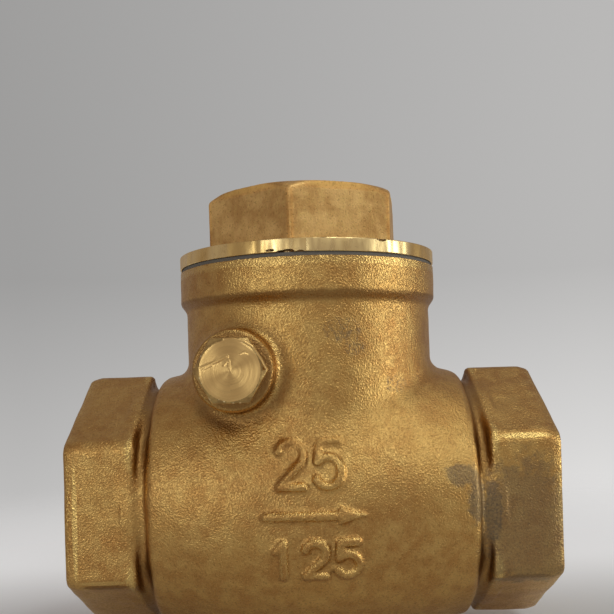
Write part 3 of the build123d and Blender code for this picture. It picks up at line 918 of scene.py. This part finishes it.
def flange_metal():
    """The turned flange: rings on its faces, chatter that breaks the rim's highlight up, and highlight
    streaks and glints painted into its colour.
    """
    p = Paint("flange_brass")
    at = p.place()
    x, y, height = p.split(at)
    radius = p.number("LENGTH", p.vector("MULTIPLY", at, (1, 1, 0)))
    rim = p.ramp(radius, FLANGE_R - 0.45, FLANGE_R - 0.2)
    girth = p.calc("MULTIPLY", p.calc("ARCTAN2", x, y), FLANGE_R)
    upright = p.joined(girth, p.calc("MULTIPLY", height, 0.22))
    streak = p.noise(upright, 0.15, 2, 0.5, 0.4)
    fine = p.noise(upright, 0.9, 2, 0.6)
    rings = p.noise(p.joined(radius), 3.2, 2, 0.6)
    wear = p.noise(at, 0.8, 4, 0.6)
    # painted highlights: bright upright streaks and glints on the rim, in the colour
    glint = p.calc("MULTIPLY", rim, p.ramp(fine, 0.55, 0.72, 0.0, 0.4))
    tone = p.mix(p.ramp(streak, 0.40, 0.60), (0.80, 0.54, 0.20, 1), (1.0, 0.76, 0.36, 1))
    tone = p.mix(glint, tone, (1.0, 0.80, 0.42, 1))
    tone = p.mix(p.ramp(rings, 0.45, 0.65, 0.0, 0.25), tone, BRASS_DARK)
    tone = p.mix(p.ramp(wear, 0.56, 0.75, 0.0, 0.35), tone, BRASS_DARK)
    chatter = [(p.calc("MULTIPLY", rim, wave), depth) for wave, depth in ((streak, 1.0), (fine, 0.02))]
    p.bump(*chatter, (rings, 0.008))
    return p.metal(tone, p.ramp(fine, 0.35, 0.65, 0.38, 0.26))


def cap_metal():
    """The cap's hexagon: satin brass with brown clouds, specks, faint upright marks and top edges
    brightened, partly as painted highlight.
    """
    p = Paint("cap_brass")
    at = p.place()
    cloud = p.noise(at, 0.22, 4, 0.65)
    drawn = p.noise(p.vector("MULTIPLY", at, (1, 1, 0.6)), 1.5, 3, 0.65)
    grit = p.noise(at, 3.0, 2, 0.6)
    speck = p.noise(at, 0.9, 3, 0.75)
    colour = p.mix(p.ramp(cloud, 0.35, 0.65), (0.64, 0.37, 0.13, 1), (0.95, 0.63, 0.25, 1))
    colour = p.mix(p.ramp(drawn, 0.42, 0.74, 0.0, 0.5), colour, BRASS_BRIGHT)
    colour = p.mix(p.ramp(grit, 0.46, 0.28, 0.0, 0.5), colour, BRASS_DARK)
    colour = p.mix(p.ramp(speck, 0.66, 0.72, 0.0, 0.5), colour, BRASS_DARK)
    # top edges brightened: edge wear and a painted highlight
    top = p.ramp(p.split(at)[2], CAP_HIGH.z - 2.5, CAP_HIGH.z - 1.5)
    wear_and_highlight = p.calc("MULTIPLY", top, p.ramp(p.form("edge"), 0.22, 0.5, 0.0, 0.5))
    colour = p.mix(wear_and_highlight, colour, BRASS_BRIGHT)
    p.bump((grit, 0.035), (drawn, 0.03))
    rounded_edge = p.ramp(p.form("edge"), 0.04, 0.25, 0.0, 0.30)
    return p.metal(colour, p.calc("ADD", rounded_edge, p.ramp(grit, 0.3, 0.7, 0.48, 0.38)))


def worn_metal(name, dark, light):
    """Dull, handled brass that is bright only on its edges."""
    p = Paint(name)
    at = p.place()
    cloud = p.noise(at, 0.7, 4, 0.65)
    grit = p.noise(at, 3.4, 3, 0.6)
    colour = p.mix(p.ramp(cloud, 0.35, 0.65), dark, light)
    point = p.node("NewGeometry").outputs["Pointiness"]
    colour = p.mix(p.ramp(point, 0.53, 0.60), colour, (0.98, 0.80, 0.44, 1))
    p.bump((cloud, 0.10), (grit, 0.02))
    return p.metal(colour, p.ramp(grit, 0.35, 0.65, 0.42, 0.28))


def fibre(name, dark, light):
    """Pressed fibre sheet with a fine fleck."""
    p = Paint(name)
    at = p.place()
    fleck = p.noise(at, 3.0, 3, 0.6)
    streak = p.noise(p.vector("MULTIPLY", at, (0.5, 0.5, 4.0)), 1.6, 2, 0.5)
    tone = p.mix(p.calc("MULTIPLY", p.calc("ADD", fleck, streak), 0.5), dark, light)
    p.bump((fleck, 0.03))
    return p.plain(tone, p.ramp(fleck, 0.3, 0.7, 0.68, 0.85))


def black_rubber():
    """Moulded rubber with a faint bloom and a matt grain."""
    p = Paint("rubber")
    at = p.place()
    bloom = p.noise(at, 0.35, 3, 0.6)
    grain = p.noise(at, 6.0, 2, 0.5)
    tone = p.mix(p.ramp(bloom, 0.4, 0.7), (0.014, 0.014, 0.015, 1), (0.05, 0.05, 0.052, 1))
    p.bump((grain, 0.02))
    return p.plain(tone, p.ramp(grain, 0.3, 0.7, 0.48, 0.62))


def drawn_steel():
    """Drawn stainless wire: fine lines along it and dull spots where it was bent."""
    p = Paint("steel_wire")
    at = p.place()
    lines = p.noise(p.vector("MULTIPLY", at, (5.0, 0.6, 5.0)), 1.5, 2, 0.5)
    dull = p.noise(at, 0.9, 3, 0.6)
    tone = p.mix(p.ramp(dull, 0.4, 0.7), (0.56, 0.56, 0.55, 1), (0.36, 0.35, 0.33, 1))
    p.bump((lines, 0.012))
    return p.metal(tone, p.ramp(lines, 0.3, 0.7, 0.26, 0.42))


def milled_brass():
    """Hexagon stock: drawn flats with straight faint lines and darker pits."""
    p = Paint("nut_brass")
    at = p.place()
    lines = p.noise(p.vector("MULTIPLY", at, (0.4, 5.0, 5.0)), 1.4, 3, 0.6)
    pits = p.noise(at, 2.6, 2, 0.5)
    tone = p.mix(p.ramp(lines, 0.3, 0.7), BRASS, BRASS_BRIGHT)
    tone = p.mix(p.ramp(pits, 0.42, 0.25, 0.0, 0.7), tone, BRASS_DARK)
    p.bump((lines, 0.012), (pits, 0.02))
    return p.metal(tone, p.ramp(pits, 0.3, 0.7, 0.38, 0.27))


cast_brass = cast_metal("cast_brass")
cored_brass = cast_metal("cored_brass", 0.7, stained=False)
cap_brass = cap_metal()
flange_brass = flange_metal()
pipe_turned = turned_metal("pipe_turned", PIPE)
neck_turned = turned_metal("neck_turned", NECK)
pin_turned = turned_metal("pin_turned", PIN, (1.0, 0.68, 0.27, 1), 0.30, 2.6, 0.045, 0.85, dirt=0.2)
plug_brass = worn_metal("plug_brass", (0.40, 0.25, 0.095, 1), (0.66, 0.45, 0.17, 1))
gouged_brass = worn_metal("gouged_brass", (0.10, 0.055, 0.025, 1), (0.34, 0.20, 0.08, 1))
disc_turned = turned_metal("disc_turned", DISC)
steel_turned = turned_metal("steel_turned", PIN, (0.55, 0.55, 0.54, 1), 0.28)
steel_wire = drawn_steel()
arm_brass = cast_metal("arm_brass", 1.2, stained=False)
nut_brass = milled_brass()
rubber = black_rubber()
gasket_grey = fibre("gasket_grey", (0.10, 0.092, 0.082, 1), (0.24, 0.225, 0.20, 1))
washer_fibre = fibre("washer_fibre", (0.16, 0.09, 0.05, 1), (0.34, 0.22, 0.13, 1))


# ---------------------------------------------------------------- shared by all pieces
def housed(obj, body, node):
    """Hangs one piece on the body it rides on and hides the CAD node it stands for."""
    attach(obj, body)
    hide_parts(node)


def ring(name, place, inner, outer, start, end, finish, edge=0.1, segments=128):
    """A turned ring with broken edges."""
    profile = [(inner, end), (inner, start), (outer, start), (outer, end), (inner, end)]
    return painted(turned(name, rounded(profile, edge)[:-1], place, segments), finish)


def bore(target, place, radius, start, end, finish):
    """Cuts one machined bore."""
    tool = turned("bore", [(0, start), (radius, start), (radius, end), (0, end)], place)
    combined(target, painted(tool, finish))


# ---------------------------------------------------------------- casting


def casting():
    """The body: cast skin and cored space, then everything that is machined."""
    low = (-HALF_LENGTH - STOCK, -max(BARREL_R, BOSS_FACE + STOCK) - 0.5, -BARREL_R - 0.5)
    high = (HALF_LENGTH + STOCK, BARREL_R + 0.5, COLLAR_TOP + STOCK)
    body = painted(net_object("casting", skin_field, low, high, SKIN_STEP), cast_brass)
    body.modifiers.new("thin", "DECIMATE").ratio = 0.55
    applied(body)
    low = (-NECK_BORE_R - 1, -BARREL_R, -BARREL_R)
    high = (CHAMBER_END, BARREL_R, COLLAR_TOP + 2)
    core = net_object("core", inner_field, low, high, INNER_STEP)
    combined(body, painted(core, cored_brass))
    for way in (-1, 1):
        ends = Place((way * HALF_LENGTH, 0, 0), (way, 0, 0), (0, 1, 0))
        bore(body, ends, FACING_R, 0, FACING_DEPTH, pipe_turned)
        tap = threaded(
            "tap", PIPE, way * HALF_LENGTH, way * (HALF_LENGTH - THREAD_LENGTH), THREAD_MINOR_R,
            THREAD_MAJOR_R, THREAD_PITCH, THREAD_RUN_OUT, (MOUTH_R, MOUTH_DEPTH),
        )
        combined(body, painted(tap, pipe_turned))
    port_start = THREAD_LENGTH - HALF_LENGTH - 0.5
    bore(body, PIPE, PORT_R, port_start, SEAT_X + 3, pipe_turned)
    bore(body, PIPE, OUTLET_R, CHAMBER_END - 3, -port_start, pipe_turned)
    bore(body, DISC, SEAT_OUT_R + 0.8, 0, SEAT_HEIGHT + 0.2, disc_turned)
    bore(body, NECK, FACING_R, COLLAR_TOP, COLLAR_TOP + FACING_DEPTH, neck_turned)
    bore(body, NECK, NECK_THREAD_R, NECK_THREAD_BOTTOM, COLLAR_TOP + 1, neck_turned)
    bore(body, PIN, BOSS_R + 3, BOSS_FACE, BOSS_FACE + 2, cast_brass)
    bore(body, PIN, PLUG_HOLE_R, PLUG_HOLE_END, BOSS_FACE + 1, pin_turned)
    bore(body, PIN, PIN_BORE_R, -PIN_HIGH.y - 0.2, BOSS_FACE + 1, pin_turned)
    crisp(body, soft=(cast_brass.name, cored_brass.name))
    shade_form(body, skin_field, 2.2, 0.8)
    housed(body, "housing", "valve_body")


# ---------------------------------------------------------------- cap
def cap_hexagon_field(x, y, z):
    """The cap's hexagon with its turned chamfer."""
    rho = np.hypot(x, y)
    cone = CAP_CHAMFER_SLOPE * (rho - CAP_CHAMFER_R) + z - CAP_HIGH.z
    bar = hexagon_bar(-y, x, CAP_HEX_HALF, CAP_HEX_TURN, 0.25)
    bar = round_and(bar, cone / math.hypot(1, CAP_CHAMFER_SLOPE), 0.35)
    bar = round_and(bar, z - CAP_HIGH.z, 0.3)
    bar = np.maximum(bar, -np.maximum(rho - CAP_HOLLOW_R, z - CAP_HOLLOW_TOP))
    uneven = 0.03 * waves((x, y, z), 31, 7.0) + 0.01 * waves((x, y, z), 32, 2.0)
    return np.maximum(bar, FLANGE_TOP - 1.0 - z) - uneven


def dent_field(centre, radii):
    """A ragged lump, as a tool that gouges metal away."""
    def field(x, y, z):
        away = [(a - c) / r for a, c, r in zip((x, y, z), centre, radii)]
        size = np.sqrt(sum(a * a for a in away)) - 1 + 0.22 * waves((x, y, z), 51, 1.1)
        return size * min(radii)
    return field


def cap():
    """The screw cap: forged hexagon on a turned flange and a hollow spigot."""
    low, high = (-CAP_REACH, -CAP_REACH, FLANGE_TOP - 1), (CAP_REACH, CAP_REACH, CAP_HIGH.z)
    hexagon = painted(net_object("cap_body", cap_hexagon_field, low, high, CAP_STEP), cap_brass)
    under, inside = GASKET_HIGH.z, FLANGE_TOP - 0.2
    outline = [
        (CAP_HOLLOW_R, inside), (CAP_HOLLOW_R, FLANGE_TOP - 1), (SPIGOT_BORE_R, FLANGE_TOP - 2.5),
        (SPIGOT_BORE_R, CAP_LOW.z), (SPIGOT_R, CAP_LOW.z), (SPIGOT_R, under), (FLANGE_R, under),
        (FLANGE_R, FLANGE_TOP), (SPIGOT_BORE_R, FLANGE_TOP), (SPIGOT_BORE_R, inside),
        (CAP_HOLLOW_R, inside),
    ]
    flange = turned("flange", rounded(outline, 0.16)[:-1], NECK, 192)
    combined(hexagon, painted(flange, flange_brass), "UNION")
    for centre, radii in FLANGE_DENTS:
        reach = 1.5 * np.array(radii)
        dent = net_object("dent", dent_field(centre, radii), centre - reach, centre + reach, DENT_STEP)
        combined(hexagon, painted(dent, gouged_brass))
    crisp(hexagon, soft=(cap_brass.name,))
    shade_form(hexagon, cap_hexagon_field, 1.6)
    housed(hexagon, "housing", "cap")


def gasket():
    """The fibre ring under the flange."""
    sheet = ring("gasket_ring", NECK, GASKET_IN_R, GASKET_OUT_R, GASKET_LOW.z, GASKET_HIGH.z,
                 gasket_grey, 0.08, 192)
    housed(sheet, "housing", "cap_gasket")


# ---------------------------------------------------------------- plug
def plug_field(x, y, z):
    """The plug's hexagon with its turned face, the burr round it and the gashes in it."""
    side, up, along = PIN.read(x, y, z)
    above = along - PLUG_FACE
    cone = PLUG_CHAMFER_SLOPE * (np.hypot(side, up) - PLUG_FACE_R) + above
    bar = hexagon_bar(side, up, PLUG_HEX_HALF, 0, 0.15)
    bar = round_and(bar, cone / math.hypot(1, PLUG_CHAMFER_SLOPE), 0.15)
    bar = round_and(bar, above, 0.12)
    burr = np.hypot(polyline_distance(side, up, PLUG_BURR), above + PLUG_BURR_R) - PLUG_BURR_R
    bar = soft_or(bar, burr, 0.06)
    for line, half in PLUG_SCARS:
        scar = np.hypot(polyline_distance(side, up, line), above - 0.5 * half) - half
        bar = round_and(bar, -scar, 0.06)
    return np.maximum(bar, BOSS_FACE + 0.6 - along)


def plug():
    """The hinge pin's plug: bright on its turned face and burr, dull and darker on its chamfer and
    flats, partly as painted shade.
    """
    low = (PIN_X - PLUG_REACH, -PLUG_FACE, PIN_Z - PLUG_REACH)
    high = (PIN_X + PLUG_REACH, -BOSS_FACE, PIN_Z + PLUG_REACH)
    head = painted(net_object("plug", plug_field, low, high, PLUG_STEP), pin_turned, plug_brass)
    # the chamfer and flats take the darker plug_brass: duller metal, partly painted shade
    for polygon in head.data.polygons:
        side, up, along = PIN.read(*(np.array(polygon.center) / MM - (MID_X, 0, 0)))
        on_face = math.hypot(side, up) < PLUG_FACE_R + 0.05
        on_burr = polyline_distance(side, up, PLUG_BURR) < PLUG_BURR_R
        if not (on_face or on_burr) or along < PLUG_FACE - 0.5:
            polygon.material_index = 1
    start, end = PLUG_HOLE_END + 0.5, BOSS_FACE + 1.5
    outline = [(0, start), (PLUG_THREAD_R, start), (PLUG_THREAD_R, end), (0, end)]
    combined(head, painted(turned("stub", outline, PIN, 64), pin_turned), "UNION")
    crisp(head)
    housed(head, "housing", "pin_plug")


# ---------------------------------------------------------------- inner parts
def block(name, place, low, high):
    """A plain box in a place's frame, as a cutting tool."""
    ends = list(zip(low, high))
    points = [place.put(s, u, a) for a in ends[2] for u in ends[1] for s in ends[0]]
    faces = [(0, 1, 3, 2), (4, 6, 7, 5), (0, 4, 5, 1), (2, 3, 7, 6), (0, 2, 6, 4), (1, 5, 7, 3)]
    return facing_out(make_object(name, points, faces, smooth=False))


def hinge_pin():
    """The straight stainless pin with rounded ends."""
    start, end = -PIN_HIGH.y, -PIN_LOW.y
    profile = rounded([(0, start), (PIN_R, start), (PIN_R, end), (0, end)], 0.45)
    pin = painted(turned("pin", profile, PIN, 64), steel_turned)
    housed(pin, "pin", "hinge_pin")


def plug_washer():
    """The plug's soft sealing ring, squeezed a little at its rim."""
    start, end = BOSS_FACE + 0.01, BOSS_FACE + 0.59
    washer = ring("plug_ring", PIN, PLUG_HOLE_R + 0.06, PLUG_WASHER_R, start, end, washer_fibre, 0.22)
    housed(washer, "housing", "plug_washer")


def arm_field(x, y, z):
    """Hub, tapered plate, eye and stop heel of the hinge arm."""
    side, up, along = DISC.read(x, y, z)
    hub = round_and(np.hypot(x - PIN_X, z - PIN_Z) - HUB_R, np.abs(y) - HUB_HALF, 0.45)
    depth = np.abs(along - (EYE_FRONT + EYE_BACK) / 2) - (EYE_BACK - EYE_FRONT) / 2
    share = np.clip(up / PIN_UP, 0, 1)
    width = np.abs(side) - (EYE_R + (ARM_HALF_TOP - EYE_R) * share)
    plate = round_and(np.maximum(width, np.maximum(-up, up - PIN_UP)), depth, 0.55)
    eye = round_and(np.hypot(side, up) - EYE_R, depth, 0.45)
    heel = round_and(np.abs(side) - HEEL_HALF_W, np.abs(along - PIN_ALONG) - HEEL_HALF_T, 0.5)
    heel = round_and(heel, np.maximum(up - PIN_UP - HEEL_REACH, PIN_UP - up), 0.4)
    arm = round_or(round_or(np.minimum(plate, eye), hub, 0.9), heel, 0.7)
    return arm - 0.03 * waves((x, y, z), 41, 4.0)


def hinge_arm():
    """The cast arm with its two reamed bores and the faced eye."""
    low = (min(PIN_X - HUB_R, SEAT_X) - 1, -HUB_HALF, -EYE_R - 1)
    high = (PIN_X + HUB_R + 6, HUB_HALF, PIN_Z + HEEL_REACH + 1)
    arm = painted(net_object("arm", arm_field, low, high, ARM_STEP), arm_brass)
    bore(arm, PIN, PIN_BORE_R, -HUB_HALF - 1, HUB_HALF + 1, pin_turned)
    bore(arm, DISC, STEM_R + 0.05, EYE_FRONT - 1, EYE_BACK + 1, disc_turned)
    crisp(arm, soft=(arm_brass.name,))
    shade_form(arm, arm_field, 1.5)
    housed(arm, "swing", "hinge_arm")


def disc():
    """The turned clapper: lipped front, recess, shoulder and drilled, threaded stem."""
    shoulder, thread = DISC_BACK + SHOULDER_HEIGHT, STEM_THREAD_START
    profile = [
        (0, SCREW_DEPTH), (SCREW_R, SCREW_DEPTH), (SCREW_R, SEAL_SEAT), (SEAL_R, SEAL_SEAT),
        (SEAL_R, DISC_LIP), (DISC_R, DISC_LIP), (DISC_R, DISC_BACK), (SHOULDER_R + 0.3, DISC_BACK),
        (SHOULDER_R, shoulder), (STEM_R, shoulder), (STEM_R, thread), (0, thread),
    ]
    clapper = painted(turned("clapper", rounded(profile, 0.35), DISC, 192), disc_turned)
    root = STEM_R - STEM_THREAD_DEPTH
    stud = threaded("stud", DISC, thread - 0.4, STEM_END, root, STEM_R, STEM_PITCH, segments=64)
    combined(clapper, painted(stud, disc_turned), "UNION")
    hole = Place(DISC.put(0, 0, COTTER_AT), (0, 1, 0), DISC.axis)
    bore(clapper, hole, COTTER_HOLE_R, -STEM_R - 1, STEM_R + 1, disc_turned)
    crisp(clapper)
    housed(clapper, "clapper", "disc")


def disc_seal():
    """The rubber facing, with the shallow ring that the seat has pressed into it."""
    rim = SEAL_R - 0.02
    profile = [
        (SEAL_IN_R, SEAL_SEAT), (SEAL_IN_R, SEAL_FACE), *((r, SEAL_FACE + h) for r, h in SEAL_PRINT),
        (rim, SEAL_FACE), (rim, SEAL_SEAT), (SEAL_IN_R, SEAL_SEAT),
    ]
    facing = painted(turned("facing", rounded(profile, 0.15)[:-1], DISC, 160), rubber)
    housed(facing, "clapper", "disc_seal")


def seal_retainer():
    """The retainer plate with its countersunk hole."""
    front, hole, inner = RETAINER_FRONT, SCREW_R + 0.02, SEAL_IN_R - 0.02
    profile = [
        (hole, SEAL_SEAT), (hole, front + SCREW_CONE), (SCREW_HEAD_R + 0.03, front),
        (RETAINER_R - 0.4, front), (RETAINER_R, front + 0.4), (RETAINER_R, SEAL_FACE),
        (inner, SEAL_FACE), (inner, SEAL_SEAT), (hole, SEAL_SEAT),
    ]
    plate = painted(turned("retainer", rounded(profile, 0.12)[:-1], DISC, 128), disc_turned)
    housed(plate, "clapper", "seal_retainer")


def retainer_screw():
    """The slotted countersunk screw with its thread."""
    front, neck = RETAINER_FRONT, RETAINER_FRONT + SCREW_CONE
    end = neck + 0.6
    outline = [(0, front), (SCREW_HEAD_R, front), (SCREW_R, neck), (SCREW_R, end), (0, end)]
    head = painted(turned("screw", rounded(outline, 0.08), DISC, 96), steel_turned)
    shank = threaded("shank", DISC, neck + 0.3, SCREW_DEPTH - 0.4, SCREW_R - SCREW_THREAD_DEPTH,
                     SCREW_R - 0.01, SCREW_PITCH, segments=48)
    combined(head, painted(shank, steel_turned), "UNION")
    reach = SCREW_HEAD_R + 1
    slot = block("slot", DISC, (-reach, -SLOT_HALF, front - 1), (reach, SLOT_HALF, front + SLOT_DEPTH))
    combined(head, painted(slot, steel_turned))
    crisp(head)
    housed(head, "clapper", "retainer_screw")


def disc_washer():
    """The washer behind the arm's eye."""
    end = WASHER_FRONT + WASHER_THICK
    washer = ring("stem_ring", DISC, STEM_R + 0.03, WASHER_R, WASHER_FRONT, end, disc_turned, 0.16)
    housed(washer, "clapper", "disc_washer")


def nut_field(x, y, z):
    """The nut's hexagon, chamfered on its back and just broken on its front."""
    side, up, along = DISC.read(x, y, z)
    rho = np.hypot(side, up)
    bar = hexagon_bar(side, up, NUT_HALF_FLATS, 0, 0.12)
    for height, radius in ((along - NUT_BACK, NUT_BACK_R), (NUT_FRONT - along, NUT_FRONT_R)):
        cone = height + NUT_CHAMFER_SLOPE * (rho - radius)
        bar = round_and(bar, cone / math.hypot(1, NUT_CHAMFER_SLOPE), 0.1)
    return round_and(bar, np.maximum(along - NUT_BACK, NUT_FRONT - along), 0.08)


def disc_nut():
    """The stem's hexagon nut."""
    centre = DISC.put(0, 0, (NUT_FRONT + NUT_BACK) / 2)
    nut = net_object("nut", nut_field, centre - NUT_REACH, centre + NUT_REACH, NUT_STEP)
    painted(nut, nut_brass)
    bore(nut, DISC, STEM_R + 0.03, NUT_FRONT - 1, NUT_BACK + 1, disc_turned)
    crisp(nut)
    housed(nut, "clapper", "disc_nut")


def split_pin():
    """The split pin: a half-round wire, doubled back on itself through an eye, its legs bent apart."""
    back = [(s, -t) for s, t in COTTER_ROUTE[-2::-1]]
    route = np.array(rounded(COTTER_ROUTE + back, 0.34, 6))
    ahead = np.gradient(route, axis=0)
    ahead /= np.linalg.norm(ahead, axis=1)[:, None]
    outward = np.stack([-ahead[:, 1], ahead[:, 0]], 1)
    turn = np.linspace(-math.pi / 2, math.pi / 2, 11)
    rings = []
    for at, way in zip(route, outward):
        flat = at[None] + way[None] * (WIRE_R * np.cos(turn))[:, None]
        rings.append(DISC.put(flat[:, 0], flat[:, 1], COTTER_AT + WIRE_R * np.sin(turn)))
    n, last = len(turn), (len(rings) - 1) * len(turn)
    faces = [tuple(range(n)), tuple(range(last + n - 1, last - 1, -1))]
    for i in range(0, last, n):
        for j in range(n):
            k = (j + 1) % n
            faces.append((i + j, i + k, i + n + k, i + n + j))
    wire = facing_out(make_object("cotter", np.concatenate(rings), faces))
    crisp(painted(wire, steel_wire), 50)
    housed(wire, "clapper", "split_pin")


for piece in (casting, cap, gasket, plug, hinge_pin, plug_washer, hinge_arm, disc, disc_seal,
              seal_retainer, retainer_screw, disc_washer, disc_nut, split_pin):
    piece()


# ---------------------------------------------------------------- stage, light and camera
FLOOR_R = 260
FLOOR_GLOW = (-10, 60, 0.0, 0.7)    # from the first y to the second, from the third strength
LAMP_AIM = Vector((MID_X * MM, 0, 0.01))
LAMP_DISTANCE = 0.5
LAMP_TINT = (0.95, 1.0, 0.97)
LAMPS = (    # name, degrees to the right of the camera, degrees up, size in metres, watts
    ("side", 79, 6, (0.12, 0.30), 0.55),
    ("high", 29, 40, (0.15, 0.15), 0.30),
    ("left", -30, 12, (0.12, 0.26), 0.30),
    ("top", 55, 70, (0.20, 0.10), 0.20),
)
ROOM = (0.305, 0.268, 0.250, 1)
BACKDROP = (0.415, 0.41, 0.405, 1)
BACKDROP_UP = (0.12, -0.16, 0.96, 1.50)     # over these heights of the view, these strengths
BACKDROP_SIDE = (-0.33, 0.33, 0.86, 1.22)   # the same from left to right
CAMERA_AT = (MID_X - 0.42, -147.15, 21.143)
CAMERA_PITCH = 0.613          # degrees up
CAMERA_ROLL = 1.62            # degrees
CAMERA_LENS = 47.54
CAMERA_SHIFT = 0.099


def stage():
    """A pale floor under the belly that glows, more behind the valve than in front, faded out towards
    its rim, in a dim room with a pale backdrop.
    """
    angles = np.linspace(0, 2 * math.pi, 64, endpoint=False)
    rim = [(FLOOR_R * math.cos(a), FLOOR_R * math.sin(a), -BARREL_R) for a in angles]
    floor = make_object("floor", rim, [tuple(range(len(rim)))], smooth=False)
    p = Paint("floor")
    at = p.place()
    fade = p.ramp(p.number("LENGTH", at), FLOOR_R * 0.35, FLOOR_R * 0.95, 1.0, 0.0)
    p.feed(p.shader.inputs["Emission Color"], (0.50, 0.51, 0.52, 1))
    p.feed(p.shader.inputs["Emission Strength"], p.ramp(p.split(at)[1], *FLOOR_GLOW))
    p.feed(p.shader.inputs["Alpha"], fade)
    painted(floor, p.plain((0.70, 0.71, 0.72, 1), 0.75))
    world = bpy.data.worlds.new("studio")
    bpy.context.scene.world = world
    world.use_nodes = True
    world.node_tree.nodes.clear()
    w = Nodes(world.node_tree)
    x, _, z = w.split(w.node("TexCoord").outputs["Generated"])
    strength = w.calc("MULTIPLY", w.ramp(z, *BACKDROP_UP, smooth=False),
                      w.ramp(x, *BACKDROP_SIDE, smooth=False))
    room = w.node("Background", {"Color": ROOM}).outputs[0]
    backdrop = w.node("Background", {"Color": BACKDROP, "Strength": strength}).outputs[0]
    seen = w.node("LightPath").outputs["Is Camera Ray"]
    chosen = w.node("MixShader", {0: seen, 1: room, 2: backdrop}).outputs[0]
    w.node("OutputWorld", {"Surface": chosen})


def lamp(name, turn, rise, size, power):
    """A soft area lamp, at these degrees to the right of the camera and up."""
    data = bpy.data.lights.new(name, "AREA")
    data.shape = "RECTANGLE"
    data.size, data.size_y = size
    data.energy = power
    data.color = LAMP_TINT
    turn, rise = math.radians(turn), math.radians(rise)
    way = Vector((math.sin(turn) * math.cos(rise), -math.cos(turn) * math.cos(rise), math.sin(rise)))
    obj = linked(name, data)
    obj.location = LAMP_AIM + LAMP_DISTANCE * way
    obj.rotation_mode = "QUATERNION"
    obj.rotation_quaternion = (-way).to_track_quat("-Z", "Y")


def camera():
    """The viewing angle: level with the hinge pin, tipped up and rolled by a hair."""
    data = bpy.data.cameras.new("camera")
    data.sensor_width = 36
    data.lens = CAMERA_LENS
    data.shift_y = CAMERA_SHIFT
    data.clip_start = 0.01
    obj = linked("camera", data)
    tip = Matrix.Rotation(math.pi / 2 + math.radians(CAMERA_PITCH), 4, "X")
    roll = Matrix.Rotation(-math.radians(CAMERA_ROLL), 4, "Z")
    obj.matrix_world = Matrix.Translation(MM * Vector(CAMERA_AT)) @ tip @ roll
    bpy.context.scene.camera = obj


bpy.context.scene.view_settings.view_transform = "Standard"
stage()
for settings in LAMPS:
    lamp(*settings)
camera()
